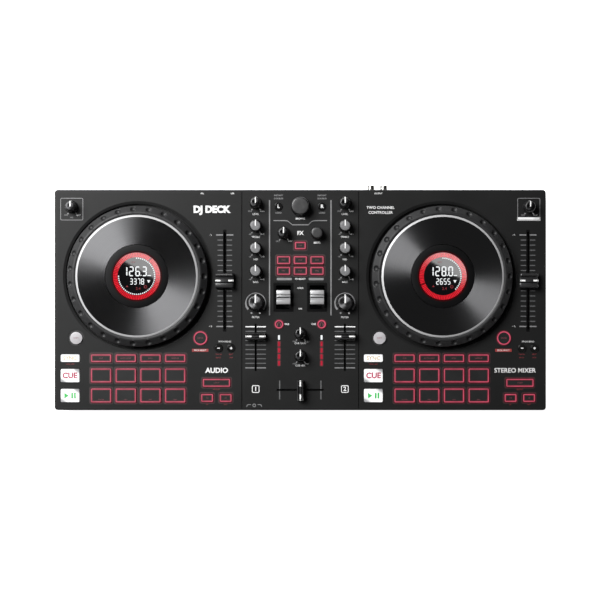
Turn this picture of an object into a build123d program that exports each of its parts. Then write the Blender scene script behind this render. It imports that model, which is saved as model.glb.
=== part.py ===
from build123d import *
import os
from math import cos, radians, sin, sqrt
from typing import NamedTuple

# A two-deck DJ controller: a flat case with a jog wheel and a pad block on each side and a
# mixer strip in the middle. Millimetres, +X to the player's right, +Y to the rear, +Z up.
# The model is laid out about the middle of the case and is moved, as it is written, so that
# the origin is the middle of the whole footprint, on the surface that the feet stand on.

os.makedirs("parts", exist_ok=True)

# ------------------------------------------------------------------ case
CASE_W = 536.0
CASE_D = 240.5
CASE_H = 35.0
CORNER_R = 3.5
TOP_EDGE_R = 1.6
BASE_CHAMFER = 3.0
WALL_T = 2.5
FLOOR_T = 2.5
TOP_T = 3.0
SKIRT_H = 9.0
LIP_T = 1.2
LIP_H = 2.0
FOOT_PROUD = 3.0
LOOSE_FIT = 0.2
TOUCH_GAP = 0.4

REAR = CASE_D / 2
FRONT = -CASE_D / 2
PANEL_Z = FOOT_PROUD + CASE_H
UNDER_TOP_Z = PANEL_Z - TOP_T
PARTING_Z = PANEL_Z - SKIRT_H
FLOOR_Z = FOOT_PROUD + FLOOR_T

# ------------------------------------------------------------------ circuit boards
BOARD_T = 1.6
BOARD_DROP = 7.5
BOARD_TOP_Z = UNDER_TOP_Z - BOARD_DROP
SOCKET_BOARD_TOP_Z = FLOOR_Z + 5.5
PILLAR_R = 2.4
SWITCH_SIDE = 6.2
SWITCH_H = 2.5

# ------------------------------------------------------------------ mixer strip
MIXER_W = 128.2
MIXER_INLAY_T = 1.2
MIXER_EDGE = 2.0
MIXER_SEAM_W = 0.9
CHANNEL_X = 48.6

# ------------------------------------------------------------------ decks
LEFT_JOG_INSET = 91.4
RIGHT_JOG_INSET = 114.1
DECK_X = {"left": -CASE_W / 2 + LEFT_JOG_INSET, "right": CASE_W / 2 - RIGHT_JOG_INSET}
JOG_Y = REAR - 94.6

# ------------------------------------------------------------------ jog wheels
JOG_R = 76.2
JOG_PROUD = 15.5
WELL_GAP = 3.2
WELL_DEPTH = 6.0
WELL_BEVEL_W = 2.8
WELL_BEVEL_H = 0.9
WELL_FLOOR_T = 2.5
WELL_WALL_T = 2.0
RIM_SLOPE_W = 6.6
RIM_SIDE_PROUD = 10.4
RIM_EDGE = 0.7
RIM_WALL_T = 4.5
PLATE_INSET = 9.9
PLATE_T = 2.5
PLATE_BEVEL_W = 2.0
PLATE_BEVEL_H = 1.0
WEB_T = 3.0
DISPLAY_R = 34.0
DISPLAY_T = 4.0
DISPLAY_FLOOR_T = 1.0
DISPLAY_BEZEL_W = 0.9
LENS_T = 1.4
POST_R = 21.0
POST_WALL_T = 4.0
POST_FLANGE_W = 7.0
POST_FLANGE_T = 2.4
BUSH_T = 2.4
THRUST_T = 0.8
THRUST_W = 8.0
HUB_T = 4.0
RUNNING_FIT = 0.1
DIMPLES = 27
DIMPLE_BALL_R = 4.0
DIMPLE_R = 2.7

# ------------------------------------------------------------------ buttons
BUTTON_TRAVEL = 1.0
BUTTON_GAP = 0.45
BUTTON_CORNER_R = 1.2
BUTTON_EDGE_R = 0.35
FLANGE_LIP = 0.6
FLANGE_T = 1.2
FLANGE_DROP = 0.4
STEM_R = 1.9
PAD_W, PAD_D, PAD_PITCH = 22.9, 16.0, 26.9
PAD_PROUD = 1.6
MODE_D = 9.2
KEY_PROUD = 1.3
TRANSPORT_X = -74.2
TRANSPORT_W = 20.0
PLAY_D = 14.0
SYNC_D = 7.7
LOOP_W, LOOP_SIZE_W, LOOP_D = 30.5, 13.7, 9.4
SHIFT_DIA = 13.5
DECK_SELECT_DIA = 15.0
SHIFT_DISH_R = 9.0
SHIFT_DISH_DEPTH = 0.5
SMALL_ROUND_DIA = 8.4
CUE_DIA = 9.5
FX_KEY_W, FX_KEY_D, FX_KEY_PITCH = 15.2, 9.4, 18.2
TAP_W, TAP_D = 12.7, 8.9

# ------------------------------------------------------------------ knobs
SHAFT_R = 3.0
SHAFT_HOLE_GAP = 0.6
SHAFT_IN_KNOB = 8.0
KNOB_LIFT = 0.9
POT_SIDE = 11.0
POT_H = 6.2
POT_NOSE_R = 4.2
POT_NOSE_H = 0.8
POT_FLOOR_T = 1.2
PUSH_TRAVEL = 0.5
SMALL_KNOB_R, SMALL_KNOB_H = 6.75, 11.0
FILTER_KNOB_R, FILTER_KNOB_H = 9.3, 12.0
BROWSE_KNOB_R, BROWSE_KNOB_H = 10.4, 12.0
BEATS_KNOB_R, BEATS_KNOB_H = 6.9, 11.0
POINTER_W = 1.2
POINTER_DEPTH = 0.5

# ------------------------------------------------------------------ faders
TRACK_H = 7.0
TRACK_WALL = 2.6
TRACK_END = 4.0
TRACK_FLOOR_T = 1.5
CARRIAGE_L = 10.0
CARRIAGE_H = 2.6
LEVER_L = 4.0
PITCH_TRAVEL = 100.0
PITCH_SLOT_W = 3.2
MIX_TRAVEL = 45.0
MIX_SLOT_W = 2.2
LEVER_IN_CAP = 6.0
CAP_LIFT = 1.5
PITCH_CAP_W, PITCH_CAP_L, PITCH_CAP_H = 19.4, 16.8, 8.8
MIX_CAP_W, MIX_CAP_L, MIX_CAP_H = 21.6, 7.4, 8.8

# ------------------------------------------------------------------ effect paddles
PADDLE_X = 18.3
PADDLE_W, PADDLE_L = 15.0, 15.8
PADDLE_WAIST = 0.6
PADDLE_WELL_W, PADDLE_WELL_L = 16.4, 27.0
PADDLE_FRAME = 2.8
PADDLE_FRAME_DEPTH = 0.6
PADDLE_PROUD = 9.0
PADDLE_HEAD_H = 6.0
PADDLE_SADDLE = 1.6
PADDLE_NECK = 8.0
PIVOT_DROP = 3.9
PADDLE_HUB_R = 3.2
AXLE_R = 1.5
EAR_T = 2.0
EAR_L = 7.0

# ------------------------------------------------------------------ level meters
METER_X = 23.2
METER_W, METER_L, METER_PITCH = 2.1, 5.0, 7.0
METER_SEGMENTS = 5
METER_PROUD = 0.2

# ------------------------------------------------------------------ sockets
SOCKET_Z = FLOOR_Z + 12.0
MIC_X, USB_X = -106.7, -74.0
PHONES_X, SMALL_PHONES_X = -58.5, -42.3
JACK_BORE_R, JACK_BORE_L = 3.2, 24.0
SMALL_JACK_BORE_R, SMALL_JACK_BORE_L = 1.8, 14.0
JACK_BODY = (13.0, 28.0, 13.0)
SMALL_JACK_BODY = (8.0, 17.0, 8.0)
JACK_WINDOW_GAP = 1.4
USB_W, USB_H, USB_DEPTH = 8.5, 7.8, 12.0
USB_SHELL_T = 1.5
USB_TONGUE_W, USB_TONGUE_H, USB_TONGUE_L = 5.6, 3.2, 6.5
PHONO_X = (78.0, 92.2)
PHONO_SHELL_R, PHONO_CORE_R, PHONO_BORE_R = 4.15, 3.5, 1.65
PHONO_PROUD = 6.0
PHONO_CORE_SETBACK = 0.8
PHONO_CORE_ROOT = 4.0
PHONO_BLOCK = (30.0, 14.0, 12.0)

# ------------------------------------------------------------------ feet and screws
FOOT_R, FOOT_T = 8.0, 4.0
FOOT_INSET_X, FOOT_INSET_Y = 30.0, 24.0
SCREW_R, SCREW_L = 1.5, 17.0
SCREW_HEAD_R, SCREW_HEAD_T = 2.9, 1.8
SCREW_RECESS = 5.0
SCREW_RECESS_R = 3.4
BOSS_R = 4.2
SCREW_HOLE_GAP = 0.3
BOSS_JOIN_Z = FLOOR_Z + 13.0
SCREW_END_INSET = 7.5


# ------------------------------------------------------------------ small shapes
def block(x, y, w, d, z0, z1, corner=0.0):
    """An upright prism, with round corners when a corner radius is given."""
    outline = RectangleRounded(w, d, corner) if corner else Rectangle(w, d)
    return Pos(x, y, z0) * extrude(outline, z1 - z0)


def disc(x, y, radius, z0, z1):
    """An upright cylinder."""
    return Pos(x, y, z0) * extrude(Circle(radius), z1 - z0)


def turned(x, y, points):
    """A solid of revolution about the upright line through x, y, from (radius, height) points."""
    outline = Plane.XZ * make_face(Polyline(*points, close=True))
    return Pos(x, y, 0) * revolve(outline, Axis.Z)


def rod_y(x, z, radius, y0, y1):
    """A cylinder along Y."""
    return Pos(x, (y0 + y1) / 2, z) * Rot(90, 0, 0) * Cylinder(radius, y1 - y0)


def rod_x(y, z, radius, x0, x1):
    """A cylinder along X."""
    return Pos((x0 + x1) / 2, y, z) * Rot(0, 90, 0) * Cylinder(radius, x1 - x0)


def flat(x, y, sketch):
    """A sketch moved to x, y."""
    return Pos(x, y) * sketch


# ------------------------------------------------------------------ where the controls are
class Button(NamedTuple):
    """A push button: its middle, its cap's width and depth (depth 0 is round), and its height."""
    x: float
    y: float
    w: float
    d: float
    proud: float


class Knob(NamedTuple):
    """A knob: its middle and the style of its cap."""
    x: float
    y: float
    style: str


class Fader(NamedTuple):
    """A slide control: the middle of its slot, its direction, travel, stored offset and cap."""
    x: float
    y: float
    along_x: bool
    travel: float
    offset: float
    slot_w: float
    cap: tuple


PAD_COLUMNS = [(i - 1.5) * PAD_PITCH for i in range(4)]
LOOP_X = 85.3
LOOP_SIZE_X = (75.1, 95.3)
SHIFT_X = -67.5
DECK_SELECT_X = 67.8
PITCH_X = 94.3
BEND_X = (87.7, 101.3)

PLAY_Y, PADS_LOW_Y = FRONT + 16.1, FRONT + 16.3
CUE_Y, PADS_HIGH_Y = FRONT + 37.8, FRONT + 38.1
MODE_Y = FRONT + 56.8
LOOP_SIZE_Y, LOOP_Y = FRONT + 13.6, FRONT + 30.1
SHIFT_Y = FRONT + 78.8
BEND_Y = FRONT + 67.8
CROSS_Y = FRONT + 22.2
PITCH_Y = REAR - 99.2
GAIN_INSET_X, GAIN_Y = 18.9, REAR - 18.9
LEVEL_Y, TREBLE_Y, MID_Y, BASS_Y = REAR - 14.7, REAR - 39.6, REAR - 64.1, REAR - 88.8
FILTER_Y = REAR - 123.2
CHANNEL_Y, CHANNEL_REST = REAR - 171.8, 12.1
BROWSE_Y = REAR - 18.4
LOAD_X = 23.7
EFFECT_Y, EFFECT_X = REAR - 47.4, 18.2
TAP_Y = REAR - 60.9
FX_ROWS_Y = (REAR - 76.8, REAR - 88.5)
PADDLE_Y = REAR - 117.3
PHONES_CUE_Y = REAR - 146.6
METER_TOP_Y = REAR - 161.1
CUE_GAIN_Y, CUE_MIX_Y = REAR - 156.7, REAR - 181.0


def deck_buttons(side):
    """The push buttons of one deck, by node."""
    x = DECK_X[side]
    pads = [Button(x + c, y, PAD_W, PAD_D, PAD_PROUD) for y in (PADS_HIGH_Y, PADS_LOW_Y) for c in PAD_COLUMNS]
    modes = [Button(x + c, MODE_Y, PAD_W, MODE_D, KEY_PROUD) for c in PAD_COLUMNS]
    loops = [Button(x + c, LOOP_SIZE_Y, LOOP_SIZE_W, LOOP_D, KEY_PROUD) for c in LOOP_SIZE_X]
    loops.append(Button(x + LOOP_X, LOOP_Y, LOOP_W, LOOP_D, KEY_PROUD))
    return {
        f"{side}_play_button": [Button(x + TRANSPORT_X, PLAY_Y, TRANSPORT_W, PLAY_D, PAD_PROUD)],
        f"{side}_cue_button": [Button(x + TRANSPORT_X, CUE_Y, TRANSPORT_W, PLAY_D, PAD_PROUD)],
        f"{side}_sync_button": [Button(x + TRANSPORT_X, MODE_Y, TRANSPORT_W, SYNC_D, KEY_PROUD)],
        f"{side}_pads": pads,
        f"{side}_mode_buttons": modes,
        f"{side}_loop_buttons": loops,
    }


def shared_buttons():
    """The like buttons that share a node across the panel."""
    big_round, small_round = [], []
    for x in DECK_X.values():
        big_round.append(Button(x + SHIFT_X, SHIFT_Y, SHIFT_DIA, 0, PAD_PROUD))
        big_round.append(Button(x + DECK_SELECT_X, SHIFT_Y, DECK_SELECT_DIA, 0, KEY_PROUD))
        small_round += [Button(x + bend, BEND_Y, SMALL_ROUND_DIA, 0, KEY_PROUD) for bend in BEND_X]
    small_round += [Button(x, BROWSE_Y, SMALL_ROUND_DIA, 0, KEY_PROUD) for x in (-LOAD_X, LOAD_X)]
    fx = [Button(i * FX_KEY_PITCH, y, FX_KEY_W, FX_KEY_D, KEY_PROUD) for y in FX_ROWS_Y for i in (-1, 0, 1)]
    fx.append(Button(0, TAP_Y, TAP_W, TAP_D, KEY_PROUD))
    cue = [Button(way * METER_X, PHONES_CUE_Y, CUE_DIA, 0, KEY_PROUD) for way in (-1, 1)]
    return {
        "shift_and_deck_buttons": big_round,
        "bend_and_load_buttons": small_round,
        "fx_buttons": fx,
        "headphone_cue_buttons": cue,
    }


BUTTONS = {**deck_buttons("left"), **deck_buttons("right"), **shared_buttons()}

KNOBS = {
    "mic_gain_knob": Knob(-CASE_W / 2 + GAIN_INSET_X, GAIN_Y, "small"),
    "master_gain_knob": Knob(CASE_W / 2 - GAIN_INSET_X, GAIN_Y, "small"),
    "fx_mix_knob": Knob(-EFFECT_X, EFFECT_Y, "small"),
    "fx_beats_knob": Knob(EFFECT_X, EFFECT_Y, "beats"),
    "cue_gain_knob": Knob(0, CUE_GAIN_Y, "small"),
    "cue_mix_knob": Knob(0, CUE_MIX_Y, "small"),
    "browse_knob": Knob(0, BROWSE_Y, "browse"),
}
for channel, channel_x in (("left", -CHANNEL_X), ("right", CHANNEL_X)):
    KNOBS[f"{channel}_level_knob"] = Knob(channel_x, LEVEL_Y, "small")
    KNOBS[f"{channel}_treble_knob"] = Knob(channel_x, TREBLE_Y, "eq")
    KNOBS[f"{channel}_mid_knob"] = Knob(channel_x, MID_Y, "eq")
    KNOBS[f"{channel}_bass_knob"] = Knob(channel_x, BASS_Y, "eq")
    KNOBS[f"{channel}_filter_knob"] = Knob(channel_x, FILTER_Y, "filter")

PITCH_CAP = (PITCH_CAP_W, PITCH_CAP_L, PITCH_CAP_H)
MIX_CAP = (MIX_CAP_W, MIX_CAP_L, MIX_CAP_H)
FADERS = {
    f"{side}_pitch_fader": Fader(x + PITCH_X, PITCH_Y, False, PITCH_TRAVEL, 0, PITCH_SLOT_W, PITCH_CAP)
    for side, x in DECK_X.items()
}
FADERS |= {
    "left_channel_fader": Fader(-CHANNEL_X, CHANNEL_Y, False, MIX_TRAVEL, CHANNEL_REST, MIX_SLOT_W, MIX_CAP),
    "right_channel_fader": Fader(CHANNEL_X, CHANNEL_Y, False, MIX_TRAVEL, CHANNEL_REST, MIX_SLOT_W, MIX_CAP),
    "crossfader": Fader(0, CROSS_Y, True, MIX_TRAVEL, 0, MIX_SLOT_W, MIX_CAP),
}

PADDLES = {"left_fx_paddle": -PADDLE_X, "right_fx_paddle": PADDLE_X}
PIVOT_Z = UNDER_TOP_Z - PIVOT_DROP

METERS = [(x, METER_TOP_Y - i * METER_PITCH) for x in (-METER_X, METER_X) for i in range(METER_SEGMENTS)]

SCREWS = [(side * (CASE_W / 2 - SCREW_END_INSET), y) for side in (-1, 1) for y in (REAR - 7.8, FRONT + 98.0)]
SCREWS += [(side * (MIXER_W / 2 - 3.6), REAR - 7.6) for side in (-1, 1)]
SCREWS += [(x + 60.2, FRONT + 8.6) for x in DECK_X.values()]
SCREWS += [(-30.0, FRONT + 8.2), (60.0, FRONT + 8.2)]

MIXER_PILLARS = [(side * 36.5, y) for side in (-1, 1) for y in (REAR - 28, REAR - 114, REAR - 204)]
DECK_PILLARS = [(-58.0, MODE_Y - 9), (-58.0, PLAY_Y - 3), (60.2, FRONT + 35)]

FEET = [(sx * (CASE_W / 2 - FOOT_INSET_X), sy * (REAR - FOOT_INSET_Y)) for sx in (-1, 1) for sy in (-1, 1)]

WELL_R = JOG_R + WELL_GAP
WELL_FLOOR_Z = PANEL_Z - WELL_DEPTH
JOG_TOP_Z = PANEL_Z + JOG_PROUD


# ------------------------------------------------------------------ jog wheels
BUSH_R = POST_R + BUSH_T
HUB_R = BUSH_R + RUNNING_FIT
HUB_BOTTOM_Z = WELL_FLOOR_Z + THRUST_T + LOOSE_FIT
PLATE_R = JOG_R - PLATE_INSET
PLATE_HOLE_R = DISPLAY_R + TOUCH_GAP
SEAT_Z = JOG_TOP_Z - PLATE_T
DISPLAY_Z = JOG_TOP_Z - DISPLAY_T
WEB_TOP_Z = DISPLAY_Z - TOUCH_GAP
WEB_Z = WEB_TOP_Z - WEB_T
RIM_SHOULDER_Z = PANEL_Z + RIM_SIDE_PROUD
RIM_TOP_Z = JOG_TOP_Z - 0.8
RIM_TOP_R = JOG_R - RIM_SLOPE_W


def jog_platter(x):
    """The moulded wheel: hub, web and a sloping rim with finger dimples all round."""
    wheel = turned(x, JOG_Y, [
        (HUB_R, HUB_BOTTOM_Z),
        (HUB_R + HUB_T, HUB_BOTTOM_Z),
        (HUB_R + HUB_T, WEB_Z),
        (JOG_R - RIM_WALL_T, WEB_Z),
        (JOG_R - RIM_WALL_T, HUB_BOTTOM_Z),
        (JOG_R, HUB_BOTTOM_Z),
        (JOG_R, RIM_SHOULDER_Z - RIM_EDGE),
        (JOG_R - RIM_EDGE, RIM_SHOULDER_Z),
        (RIM_TOP_R, RIM_TOP_Z),
        (PLATE_R + TOUCH_GAP, RIM_TOP_Z),
        (PLATE_R + TOUCH_GAP, SEAT_Z),
        (PLATE_HOLE_R, SEAT_Z),
        (PLATE_HOLE_R, WEB_TOP_Z),
        (HUB_R, WEB_TOP_Z),
    ])
    run, rise = RIM_SLOPE_W - RIM_EDGE, RIM_TOP_Z - RIM_SHOULDER_Z
    slope = sqrt(run**2 + rise**2)
    above = sqrt(DIMPLE_BALL_R**2 - DIMPLE_R**2)
    ball_r = RIM_TOP_R + run / 2 + above * rise / slope
    ball_z = RIM_SHOULDER_Z + rise / 2 + above * run / slope
    balls = []
    for i in range(DIMPLES):
        turn = radians(i * 360 / DIMPLES)
        balls.append(Pos(x + ball_r * cos(turn), JOG_Y + ball_r * sin(turn), ball_z) * Sphere(DIMPLE_BALL_R))
    return wheel - balls


def jog_plate(x):
    """The metal touch plate: a flat ring with a bright bevel at its edge."""
    return turned(x, JOG_Y, [
        (PLATE_HOLE_R, SEAT_Z),
        (PLATE_R, SEAT_Z),
        (PLATE_R, JOG_TOP_Z - PLATE_BEVEL_H),
        (PLATE_R - PLATE_BEVEL_W, JOG_TOP_Z),
        (PLATE_HOLE_R, JOG_TOP_Z),
    ])


def jog_post(x):
    """The fixed hollow post that holds the display, and the flanged bush that the wheel turns on."""
    well_under = WELL_FLOOR_Z - WELL_FLOOR_T
    bore = POST_R - POST_WALL_T
    post = turned(x, JOG_Y, [
        (bore, well_under - POST_FLANGE_T),
        (POST_R + POST_FLANGE_W, well_under - POST_FLANGE_T),
        (POST_R + POST_FLANGE_W, well_under),
        (POST_R, well_under),
        (POST_R, DISPLAY_Z),
        (bore, DISPLAY_Z),
    ])
    bush = turned(x, JOG_Y, [
        (POST_R, WELL_FLOOR_Z),
        (POST_R + THRUST_W, WELL_FLOOR_Z),
        (POST_R + THRUST_W, WELL_FLOOR_Z + THRUST_T),
        (BUSH_R, WELL_FLOOR_Z + THRUST_T),
        (BUSH_R, WEB_TOP_Z),
        (POST_R, WEB_TOP_Z),
    ])
    return [post, bush]


def jog_display(x):
    """The round display in the wheel's middle: a black cup, its screen and a clear lens."""
    lens_r = DISPLAY_R - DISPLAY_BEZEL_W
    wire_hole_r = POST_R - POST_WALL_T - 3
    floor_top = DISPLAY_Z + DISPLAY_FLOOR_T
    lens_z = JOG_TOP_Z - LENS_T
    cup = turned(x, JOG_Y, [
        (wire_hole_r, DISPLAY_Z),
        (DISPLAY_R, DISPLAY_Z),
        (DISPLAY_R, JOG_TOP_Z),
        (lens_r, JOG_TOP_Z),
        (lens_r, floor_top),
        (wire_hole_r, floor_top),
    ])
    return [cup, disc(x, JOG_Y, lens_r, floor_top, lens_z), disc(x, JOG_Y, lens_r, lens_z, JOG_TOP_Z)]


# ------------------------------------------------------------------ push buttons
def cap_outline(button, grow=0.0):
    """The outline of a button's cap, grown all round."""
    if button.d == 0:
        return Circle(button.w / 2 + grow)
    return RectangleRounded(button.w + 2 * grow, button.d + 2 * grow, BUTTON_CORNER_R + grow)


FLANGE_TOP_Z = UNDER_TOP_Z - FLANGE_DROP
FLANGE_Z = FLANGE_TOP_Z - FLANGE_T
STEM_Z = BOARD_TOP_Z + SWITCH_H + BUTTON_TRAVEL + LOOSE_FIT


def push_button(button):
    """One cap, with the flange that keeps it in the panel and the stem that presses its switch."""
    top = PANEL_Z + button.proud
    cap = Pos(0, 0, FLANGE_Z) * extrude(cap_outline(button), top - FLANGE_Z)
    cap = fillet(cap.faces().sort_by(Axis.Z)[-1].edges(), BUTTON_EDGE_R)
    flange = Pos(0, 0, FLANGE_Z) * extrude(cap_outline(button, BUTTON_GAP + FLANGE_LIP), FLANGE_T)
    stem = disc(0, 0, STEM_R, STEM_Z, FLANGE_Z)
    return Pos(button.x, button.y, 0) * (cap + flange + stem)


# ------------------------------------------------------------------ knobs and their potentiometers
KNOB_Z = PANEL_Z + KNOB_LIFT
SHAFT_Z = BOARD_TOP_Z + POT_FLOOR_T + LOOSE_FIT
POT_TOP_Z = BOARD_TOP_Z + POT_H + POT_NOSE_H
SHAFT_BORE_R = SHAFT_R + RUNNING_FIT
KNOB_SIZES = {
    "small": (SMALL_KNOB_R, SMALL_KNOB_H),
    "eq": (SMALL_KNOB_R, SMALL_KNOB_H),
    "filter": (FILTER_KNOB_R, FILTER_KNOB_H),
    "browse": (BROWSE_KNOB_R, BROWSE_KNOB_H),
    "beats": (BEATS_KNOB_R, BEATS_KNOB_H),
}
SKIRT_SHARE, TOP_SHARE, CROWN_DROP = 0.18, 0.76, 1.0
PLAIN_KNOBS = ("browse", "beats")


def knob_cap(knob, bore_top):
    """A knob's cap: a skirt, a tapering grip and a chamfered crown, bored for its shaft."""
    radius, height = KNOB_SIZES[knob.style]
    top = KNOB_Z + height
    top_r = radius * TOP_SHARE
    cap = turned(knob.x, knob.y, [
        (0, KNOB_Z),
        (radius, KNOB_Z),
        (radius, KNOB_Z + height * SKIRT_SHARE),
        (top_r + CROWN_DROP, top - CROWN_DROP),
        (top_r, top),
        (0, top),
    ])
    cap -= disc(knob.x, knob.y, SHAFT_R, KNOB_Z, bore_top)
    if knob.style in PLAIN_KNOBS:
        return cap
    return cap - block(knob.x, knob.y + radius / 2, POINTER_W, radius, top - POINTER_DEPTH, top)


def knob_pieces(knob):
    """A knob's cap and the shaft that turns with it, down into its potentiometer."""
    shaft_top = KNOB_Z + SHAFT_IN_KNOB
    return [knob_cap(knob, shaft_top), disc(knob.x, knob.y, SHAFT_R, SHAFT_Z, shaft_top)]


BROWSE_SHAFT_Z = SHAFT_Z + PUSH_TRAVEL
BROWSE_SHAFT_TOP_Z = KNOB_Z + SHAFT_IN_KNOB


def browse_shaft(knob):
    """The browse encoder's shaft, which is pushed down with its knob but turns inside it."""
    return disc(knob.x, knob.y, SHAFT_R, BROWSE_SHAFT_Z, BROWSE_SHAFT_TOP_Z)


def browse_cap(knob):
    """The browse knob, bored to turn on its shaft."""
    cap = knob_cap(knob, BROWSE_SHAFT_TOP_Z + LOOSE_FIT)
    return cap - disc(knob.x, knob.y, SHAFT_BORE_R, KNOB_Z, BROWSE_SHAFT_TOP_Z + LOOSE_FIT)


def potentiometer(knob):
    """The housing under one knob, standing on the board and bored for the shaft."""
    body = block(knob.x, knob.y, POT_SIDE, POT_SIDE, BOARD_TOP_Z, BOARD_TOP_Z + POT_H)
    nose = disc(knob.x, knob.y, POT_NOSE_R, BOARD_TOP_Z + POT_H, POT_TOP_Z)
    return body + nose - disc(knob.x, knob.y, SHAFT_BORE_R, BOARD_TOP_Z + POT_FLOOR_T, POT_TOP_Z)


# ------------------------------------------------------------------ faders and their tracks
CHANNEL_DEPTH = TRACK_H - TRACK_FLOOR_T
TRACK_TOP_Z = BOARD_TOP_Z + TRACK_H
CARRIAGE_Z = BOARD_TOP_Z + TRACK_FLOOR_T + TOUCH_GAP
CAP_Z = PANEL_Z + CAP_LIFT


def slot_length(fader):
    """How long the panel's slot is: the lever's travel, the lever and a gap at each end."""
    return fader.travel + LEVER_L + 6 * TOUCH_GAP


def fader_turn(fader):
    """Turns a piece made along Y to the fader's own direction, at the fader's middle."""
    return Pos(fader.x, fader.y, 0) * Rot(0, 0, -90 if fader.along_x else 0)


def fader_track(fader):
    """The slide potentiometer's housing, with the channel its carriage runs in."""
    channel_w = fader.slot_w + 2 * TOUCH_GAP
    channel_l = fader.travel + CARRIAGE_L + 4 * TOUCH_GAP
    body = block(0, 0, channel_w + 2 * TRACK_WALL, channel_l + 2 * TRACK_END, BOARD_TOP_Z, TRACK_TOP_Z)
    channel = block(0, 0, channel_w, channel_l, TRACK_TOP_Z - CHANNEL_DEPTH, TRACK_TOP_Z)
    return fader_turn(fader) * (body - channel)


def fader_cap(w, length, height):
    """A fader's cap: sides that lean in, and a scooped top with a ridge across its middle."""
    top = CAP_Z + height
    foot, crest, scoop, ridge = length / 2, length * 0.43, length * 0.16, length * 0.07
    dip = height * 0.22
    outline = Plane.YZ * make_face(Polyline(
        (-foot, CAP_Z), (foot, CAP_Z), (crest, top), (scoop, top - dip), (ridge, top - dip / 2),
        (-ridge, top - dip / 2), (-scoop, top - dip), (-crest, top), close=True))
    return Pos(-w / 2, 0, 0) * extrude(outline, w, dir=(1, 0, 0))


def fader_pieces(fader):
    """A fader's cap and the lever that carries it, with the carriage at the lever's foot."""
    lever_w = fader.slot_w - 2 * TOUCH_GAP
    lever_top = CAP_Z + LEVER_IN_CAP
    lever = block(0, 0, lever_w, LEVER_L, CARRIAGE_Z + CARRIAGE_H, lever_top)
    carriage = block(0, 0, fader.slot_w, CARRIAGE_L, CARRIAGE_Z, CARRIAGE_Z + CARRIAGE_H)
    cap = fader_cap(*fader.cap) - block(0, 0, lever_w, LEVER_L, CAP_Z, lever_top)
    place = fader_turn(fader) * Pos(0, fader.offset, 0)
    return [place * cap, place * (lever + carriage)]


# ------------------------------------------------------------------ effect paddles
def paddle_pieces(x):
    """A paddle that rocks to and fro on its axle: a neck up through the panel and a saddle head."""
    top = PANEL_Z + PADDLE_PROUD
    head_z = top - PADDLE_HEAD_H
    half, neck = PADDLE_L / 2, PADDLE_NECK / 2
    crest = half * 0.55
    head = Plane.YZ * make_face(Polyline(
        (-neck, head_z), (neck, head_z), (half, head_z + PADDLE_HEAD_H * 0.3), (half, top - 1.2),
        (crest, top), (crest * 0.7, top - PADDLE_SADDLE), (-crest * 0.7, top - PADDLE_SADDLE),
        (-crest, top), (-half, top - 1.2), (-half, head_z + PADDLE_HEAD_H * 0.3), close=True))
    head = Pos(-PADDLE_W / 2, 0, 0) * extrude(head, PADDLE_W, dir=(1, 0, 0))
    waist_w = PADDLE_W - 2 * PADDLE_WAIST
    stalk = block(0, 0, waist_w, PADDLE_NECK * 0.7, PIVOT_Z, head_z)
    hub = rod_x(0, PIVOT_Z, PADDLE_HUB_R, -waist_w / 2, waist_w / 2)
    reach = PADDLE_WELL_W / 2 + EAR_T
    axle = rod_x(0, PIVOT_Z, AXLE_R, -reach, reach)
    body = head + stalk + hub - axle
    return [Pos(x, PADDLE_Y, 0) * body, Pos(x, PADDLE_Y, 0) * axle]


def paddle_ears(x):
    """The two ears under the panel that hold one paddle's axle."""
    ears = []
    for side in (-1, 1):
        middle = x + side * (PADDLE_WELL_W + EAR_T) / 2
        ear = block(middle, PADDLE_Y, EAR_T, EAR_L, PIVOT_Z - EAR_L / 2, UNDER_TOP_Z)
        ears.append(ear - rod_x(PADDLE_Y, PIVOT_Z, AXLE_R + RUNNING_FIT, middle - EAR_T, middle + EAR_T))
    return ears


# ------------------------------------------------------------------ openings in the panel
def button_openings(x_low, x_high):
    """Sketches of the button openings whose middles lie between two places along X."""
    found = []
    for group in BUTTONS.values():
        found += [flat(b.x, b.y, cap_outline(b, BUTTON_GAP)) for b in group if x_low < b.x < x_high]
    return found


def control_openings(x_low, x_high):
    """Sketches of every opening between two places along X: buttons, shafts, slots, wells and lights."""
    found = button_openings(x_low, x_high)
    shaft_hole = Circle(SHAFT_R + SHAFT_HOLE_GAP)
    found += [flat(k.x, k.y, shaft_hole) for k in KNOBS.values() if x_low < k.x < x_high]
    for fader in FADERS.values():
        if x_low < fader.x < x_high:
            w, length = fader.slot_w, slot_length(fader)
            slot = Rectangle(length, w) if fader.along_x else Rectangle(w, length)
            found.append(flat(fader.x, fader.y, slot))
    for x in PADDLES.values():
        if x_low < x < x_high:
            found.append(flat(x, PADDLE_Y, Rectangle(PADDLE_WELL_W, PADDLE_WELL_L)))
    found += [flat(x, y, Rectangle(METER_W, METER_L)) for x, y in METERS if x_low < x < x_high]
    return found


# ------------------------------------------------------------------ case
def case_outline(inset=0.0):
    """The case's outline, drawn in all round."""
    return RectangleRounded(CASE_W - 2 * inset, CASE_D - 2 * inset, max(CORNER_R - inset, 0.6))


def jog_well(x):
    """The space of one jog wheel's well, with its bevelled edge."""
    return turned(x, JOG_Y, [
        (0, WELL_FLOOR_Z),
        (WELL_R, WELL_FLOOR_Z),
        (WELL_R, PANEL_Z - WELL_BEVEL_H),
        (WELL_R + WELL_BEVEL_W, PANEL_Z),
        (0, PANEL_Z),
    ])


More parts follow.
